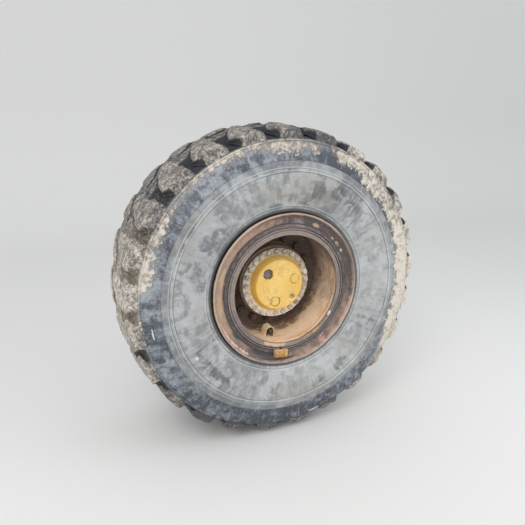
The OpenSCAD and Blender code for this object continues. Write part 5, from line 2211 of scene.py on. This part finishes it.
@dataclass
class Brake:
    """Brake disc on the hub's neck, with the calipers and pads that the axle end carries."""

    disc_r: float = 0.228
    hole_r: float = 0.104
    disc_in: float = 0.126
    disc_out: float = 0.152
    # Where the pads' track starts, and how deep it is worn.
    track_r: float = 0.150
    disc_worn: float = 0.0006
    bolts: int = 10
    bolt_circle: float = 0.120
    bolt_corner: float = 0.013
    caliper_end: float = 0.2118
    piston_circle: float = 0.194
    pistons: float = 0.037
    bolt_pitch: float = 0.047
    caliper_bolt_circle: float = 0.217
    flange_out: float = 0.030
    pipe_r: float = 0.0032
    caliper_angles: tuple[float, float] = (0, 180)

    def disc(self) -> None:
        """Makes the disc, with a rusty edge and rubbed faces, and its bolts."""
        inner, outer, worn = self.disc_in, self.disc_out, self.disc_worn
        track, edge = self.track_r, self.disc_r
        corners: list[Point] = [
            (self.hole_r, inner), (track, inner, 0.001), (track + 0.002, inner + worn, 0.001),
            (edge - 0.004, inner + worn, 0.001), (edge, inner, 0.002),
            (edge, outer, 0.002), (edge - 0.004, outer - worn, 0.001),
            (track + 0.002, outer - worn, 0.001), (track, outer, 0.001), (self.hole_r, outer),
        ]
        draft = Draft()
        draft.lathe(refined(rounded(corners, 0.001), 0.008), 216)
        draft.build("brake_disc_rubbed", FINISHES.disc, "brake_iron", "brake_disc")
        heads = Draft()
        for index, spot in enumerate(ring_of(self.bolts, self.bolt_circle)):
            heads.hexagon(spot, self.bolt_corner, -self.disc_in, 0.010, index * 17.0, 0.0006)
        heads.turn_in()
        heads.build("brake_disc_bolt_heads", FINISHES.old_bolts, "old_bolts", "brake_disc_bolts")

    def pipes(self) -> None:
        """Makes the short pipe over each caliper."""
        draft = Draft()
        along = np.linspace(0, 1, 12)
        hump = np.sin(along * math.pi)
        for angle in self.caliper_angles:
            path = Spot(self.piston_circle, angle).put(
                self.pistons * (2 * along - 1), 0.020 + 0.012 * hump,
                self.caliper_end + 0.012 + 0.008 * hump,
            )
            draft.tube(path, np.full(12, self.pipe_r), 16)
        draft.build("caliper_pipes", FINISHES.axle, "axle_steel", body=Body.AXLE)

    def caliper_bolts(self) -> None:
        """Makes the heads of the bolts that hold the calipers, two on each."""
        heads = Draft()
        radius = math.hypot(self.caliper_bolt_circle, self.bolt_pitch)
        swing = math.degrees(math.atan2(self.bolt_pitch, self.caliper_bolt_circle))
        for angle in self.caliper_angles:
            for side in (-1, 1):
                spot = Spot(radius, angle - side * swing)
                heads.hexagon(spot, 0.015, -self.flange_out, 0.013, angle + 20 * side, 0.0008)
        heads.turn_in()
        name, node = "caliper_bolt_heads", "caliper_bolts"
        heads.build(name, FINISHES.old_bolts, "old_bolts", node, body=Body.AXLE)

    def build(self) -> None:
        """Makes the brake."""
        self.disc()
        worn_copy("calipers", FINISHES.caliper, "caliper_iron", 0.003, Body.AXLE)
        self.pipes()
        self.caliper_bolts()
        worn_copy("brake_pads", FINISHES.lining, "pad_lining", 0.001, Body.AXLE)


@dataclass
class AxleEnd:
    """Hollow spindle with its flange, the caliper bracket and the seal."""

    seal_in: float = 0.142
    seal_out: float = 0.1515
    bore_r: float = 0.0853
    seal_r: float = 0.098
    lip_r: float = 0.0955

    def build(self) -> None:
        """Makes the axle end's own pieces."""
        worn_copy("spindle", FINISHES.axle, "axle_steel", 0.002, Body.AXLE)
        worn_copy("caliper_bracket", FINISHES.axle, "axle_steel", 0.003, Body.AXLE)
        outline = rounded([
            (self.bore_r, self.seal_in), (self.seal_r, self.seal_in, 0.002),
            (self.seal_r, self.seal_out - 0.003, 0.001), (self.lip_r, self.seal_out - 0.002, 0.001),
            (self.lip_r, self.seal_out, 0.001), (self.bore_r, self.seal_out),
        ], 0.001)
        draft = Draft()
        draft.lathe(refined(outline, 0.004), 144)
        draft.build("hub_seal_lipped", FINISHES.seal, "seal_rubber", "hub_seal", body=Body.AXLE)


# The studio


@dataclass
class Studio:
    """Pale floor, soft light and the camera at the photo's viewing angle."""

    floor_z: float = -0.79
    eye: tuple[float, float, float] = (-0.9739, -2.527, 0.7338)
    yaw: float = 23.448
    pitch: float = -15.39
    roll: float = 0.758
    lens: float = 32.235
    sensor: float = 36.0
    sky: Colour = (0.97, 0.985, 1.0)
    ambient: float = 0.80
    backdrop: Colour = (0.80, 0.80, 0.79)

    def floor(self) -> None:
        """Makes the floor with a wall that curves up behind the wheel."""
        across = np.linspace(-16, 16, 9)
        bend = np.linspace(0, 1.57, 9)
        reach = np.concatenate([np.linspace(-10, 3, 5), 4 + 2 * np.sin(bend), [6, 6, 6]])
        rise = np.concatenate([np.zeros(5), 2 - 2 * np.cos(bend), [4, 8, 14]])
        points = [(x, y, self.floor_z + z) for y, z in zip(reach, rise) for x in across]
        wide = len(across)
        faces = [
            (row * wide + k, row * wide + k + 1, (row + 1) * wide + k + 1, (row + 1) * wide + k)
            for row in range(len(reach) - 1) for k in range(wide - 1)
        ]
        mesh = bpy.data.meshes.new("studio_floor")
        mesh.from_pydata(points, [], faces)
        mesh.shade_smooth()
        material = bpy.data.materials.new("floor_finish")
        graph = Graph(material)
        grain = Place(graph).noise(30, 3)
        graph.surface(graph.shade(self.backdrop, 0.99 + grain * 0.02), 0.9, grain, 0.0001)
        mesh.materials.append(material)
        floor = bpy.data.objects.new("studio_floor", mesh)
        bpy.context.scene.collection.objects.link(floor)

    def world(self) -> None:
        """Lights the scene evenly, and shows the camera a pale background, through glass too."""
        world = bpy.data.worlds.new("studio_world")
        bpy.context.scene.world = world
        graph = Graph(world)
        kind = "ShaderNodeBackground"
        soft = graph.add(kind, None, {"Color": self.sky, "Strength": self.ambient})
        pale = graph.add(kind, None, {"Color": self.backdrop})
        path = graph.add("ShaderNodeLightPath")
        straight = Signal(graph, path.outputs["Is Camera Ray"])
        through = Signal(graph, path.outputs["Is Transmission Ray"])
        values = {0: straight.at_least(through), 1: soft.outputs[0], 2: pale.outputs[0]}
        mix = graph.add("ShaderNodeMixShader", None, values)
        graph.add("ShaderNodeOutputWorld", None, {0: mix.outputs[0]})

    def lamp(self, name: str, place: Point, size: float, power: float, tint: Colour) -> None:
        """Hangs one soft lamp that aims at the wheel.

        Args:
            name: The lamp's name.
            place: Where it hangs.
            size: The side of its square.
            power: Its power in watts.
            tint: Its colour.
        """
        light = bpy.data.lights.new(name, "AREA")
        light.size = size
        light.energy = power
        light.color = tint
        lamp = bpy.data.objects.new(name, light)
        lamp.location = place
        aim = Vector((0, -MIDDLE, 0)) - Vector(place)
        lamp.rotation_euler = aim.to_track_quat("-Z", "Y").to_euler()
        bpy.context.scene.collection.objects.link(lamp)

    def camera(self) -> None:
        """Puts the camera where the photo was taken from."""
        yaw, pitch, roll = (math.radians(a) for a in (self.yaw, self.pitch, self.roll))
        ahead = Vector((
            math.sin(yaw) * math.cos(pitch), math.cos(yaw) * math.cos(pitch), math.sin(pitch)
        ))
        right = Vector((math.cos(yaw), -math.sin(yaw), 0))
        up = right.cross(ahead)
        right_rolled = right * math.cos(roll) + up * math.sin(roll)
        up_rolled = up * math.cos(roll) - right * math.sin(roll)
        data = bpy.data.cameras.new("photo_camera")
        data.lens = self.lens
        data.sensor_width = self.sensor
        data.clip_end = 60
        camera = bpy.data.objects.new("photo_camera", data)
        turn = Matrix((right_rolled, up_rolled, -ahead)).transposed()
        camera.matrix_world = Matrix.Translation(self.eye) @ turn.to_4x4()
        bpy.context.scene.collection.objects.link(camera)
        bpy.context.scene.camera = camera

    def build(self) -> None:
        """Makes the studio."""
        self.camera()
        self.floor()
        self.world()
        self.lamp("key_lamp", (-2.6, -3.2, 3.4), 2.4, 95, (1.0, 0.99, 0.97))
        self.lamp("fill_lamp", (2.8, -2.6, 1.6), 2.4, 30, (0.96, 0.98, 1.0))
        bpy.context.scene.view_settings.view_transform = "Standard"


def main() -> None:
    """Builds the studio and every piece."""
    logging.basicConfig(level=logging.INFO, format="%(message)s")
    for part in (Studio(), Tyre(), Rim(), DiscAndBolts(), Valve(), Hub(), Brake(), AxleEnd()):
        log.info("building %s", type(part).__name__)
        part.build()


if __name__ == "__main__":
    main()
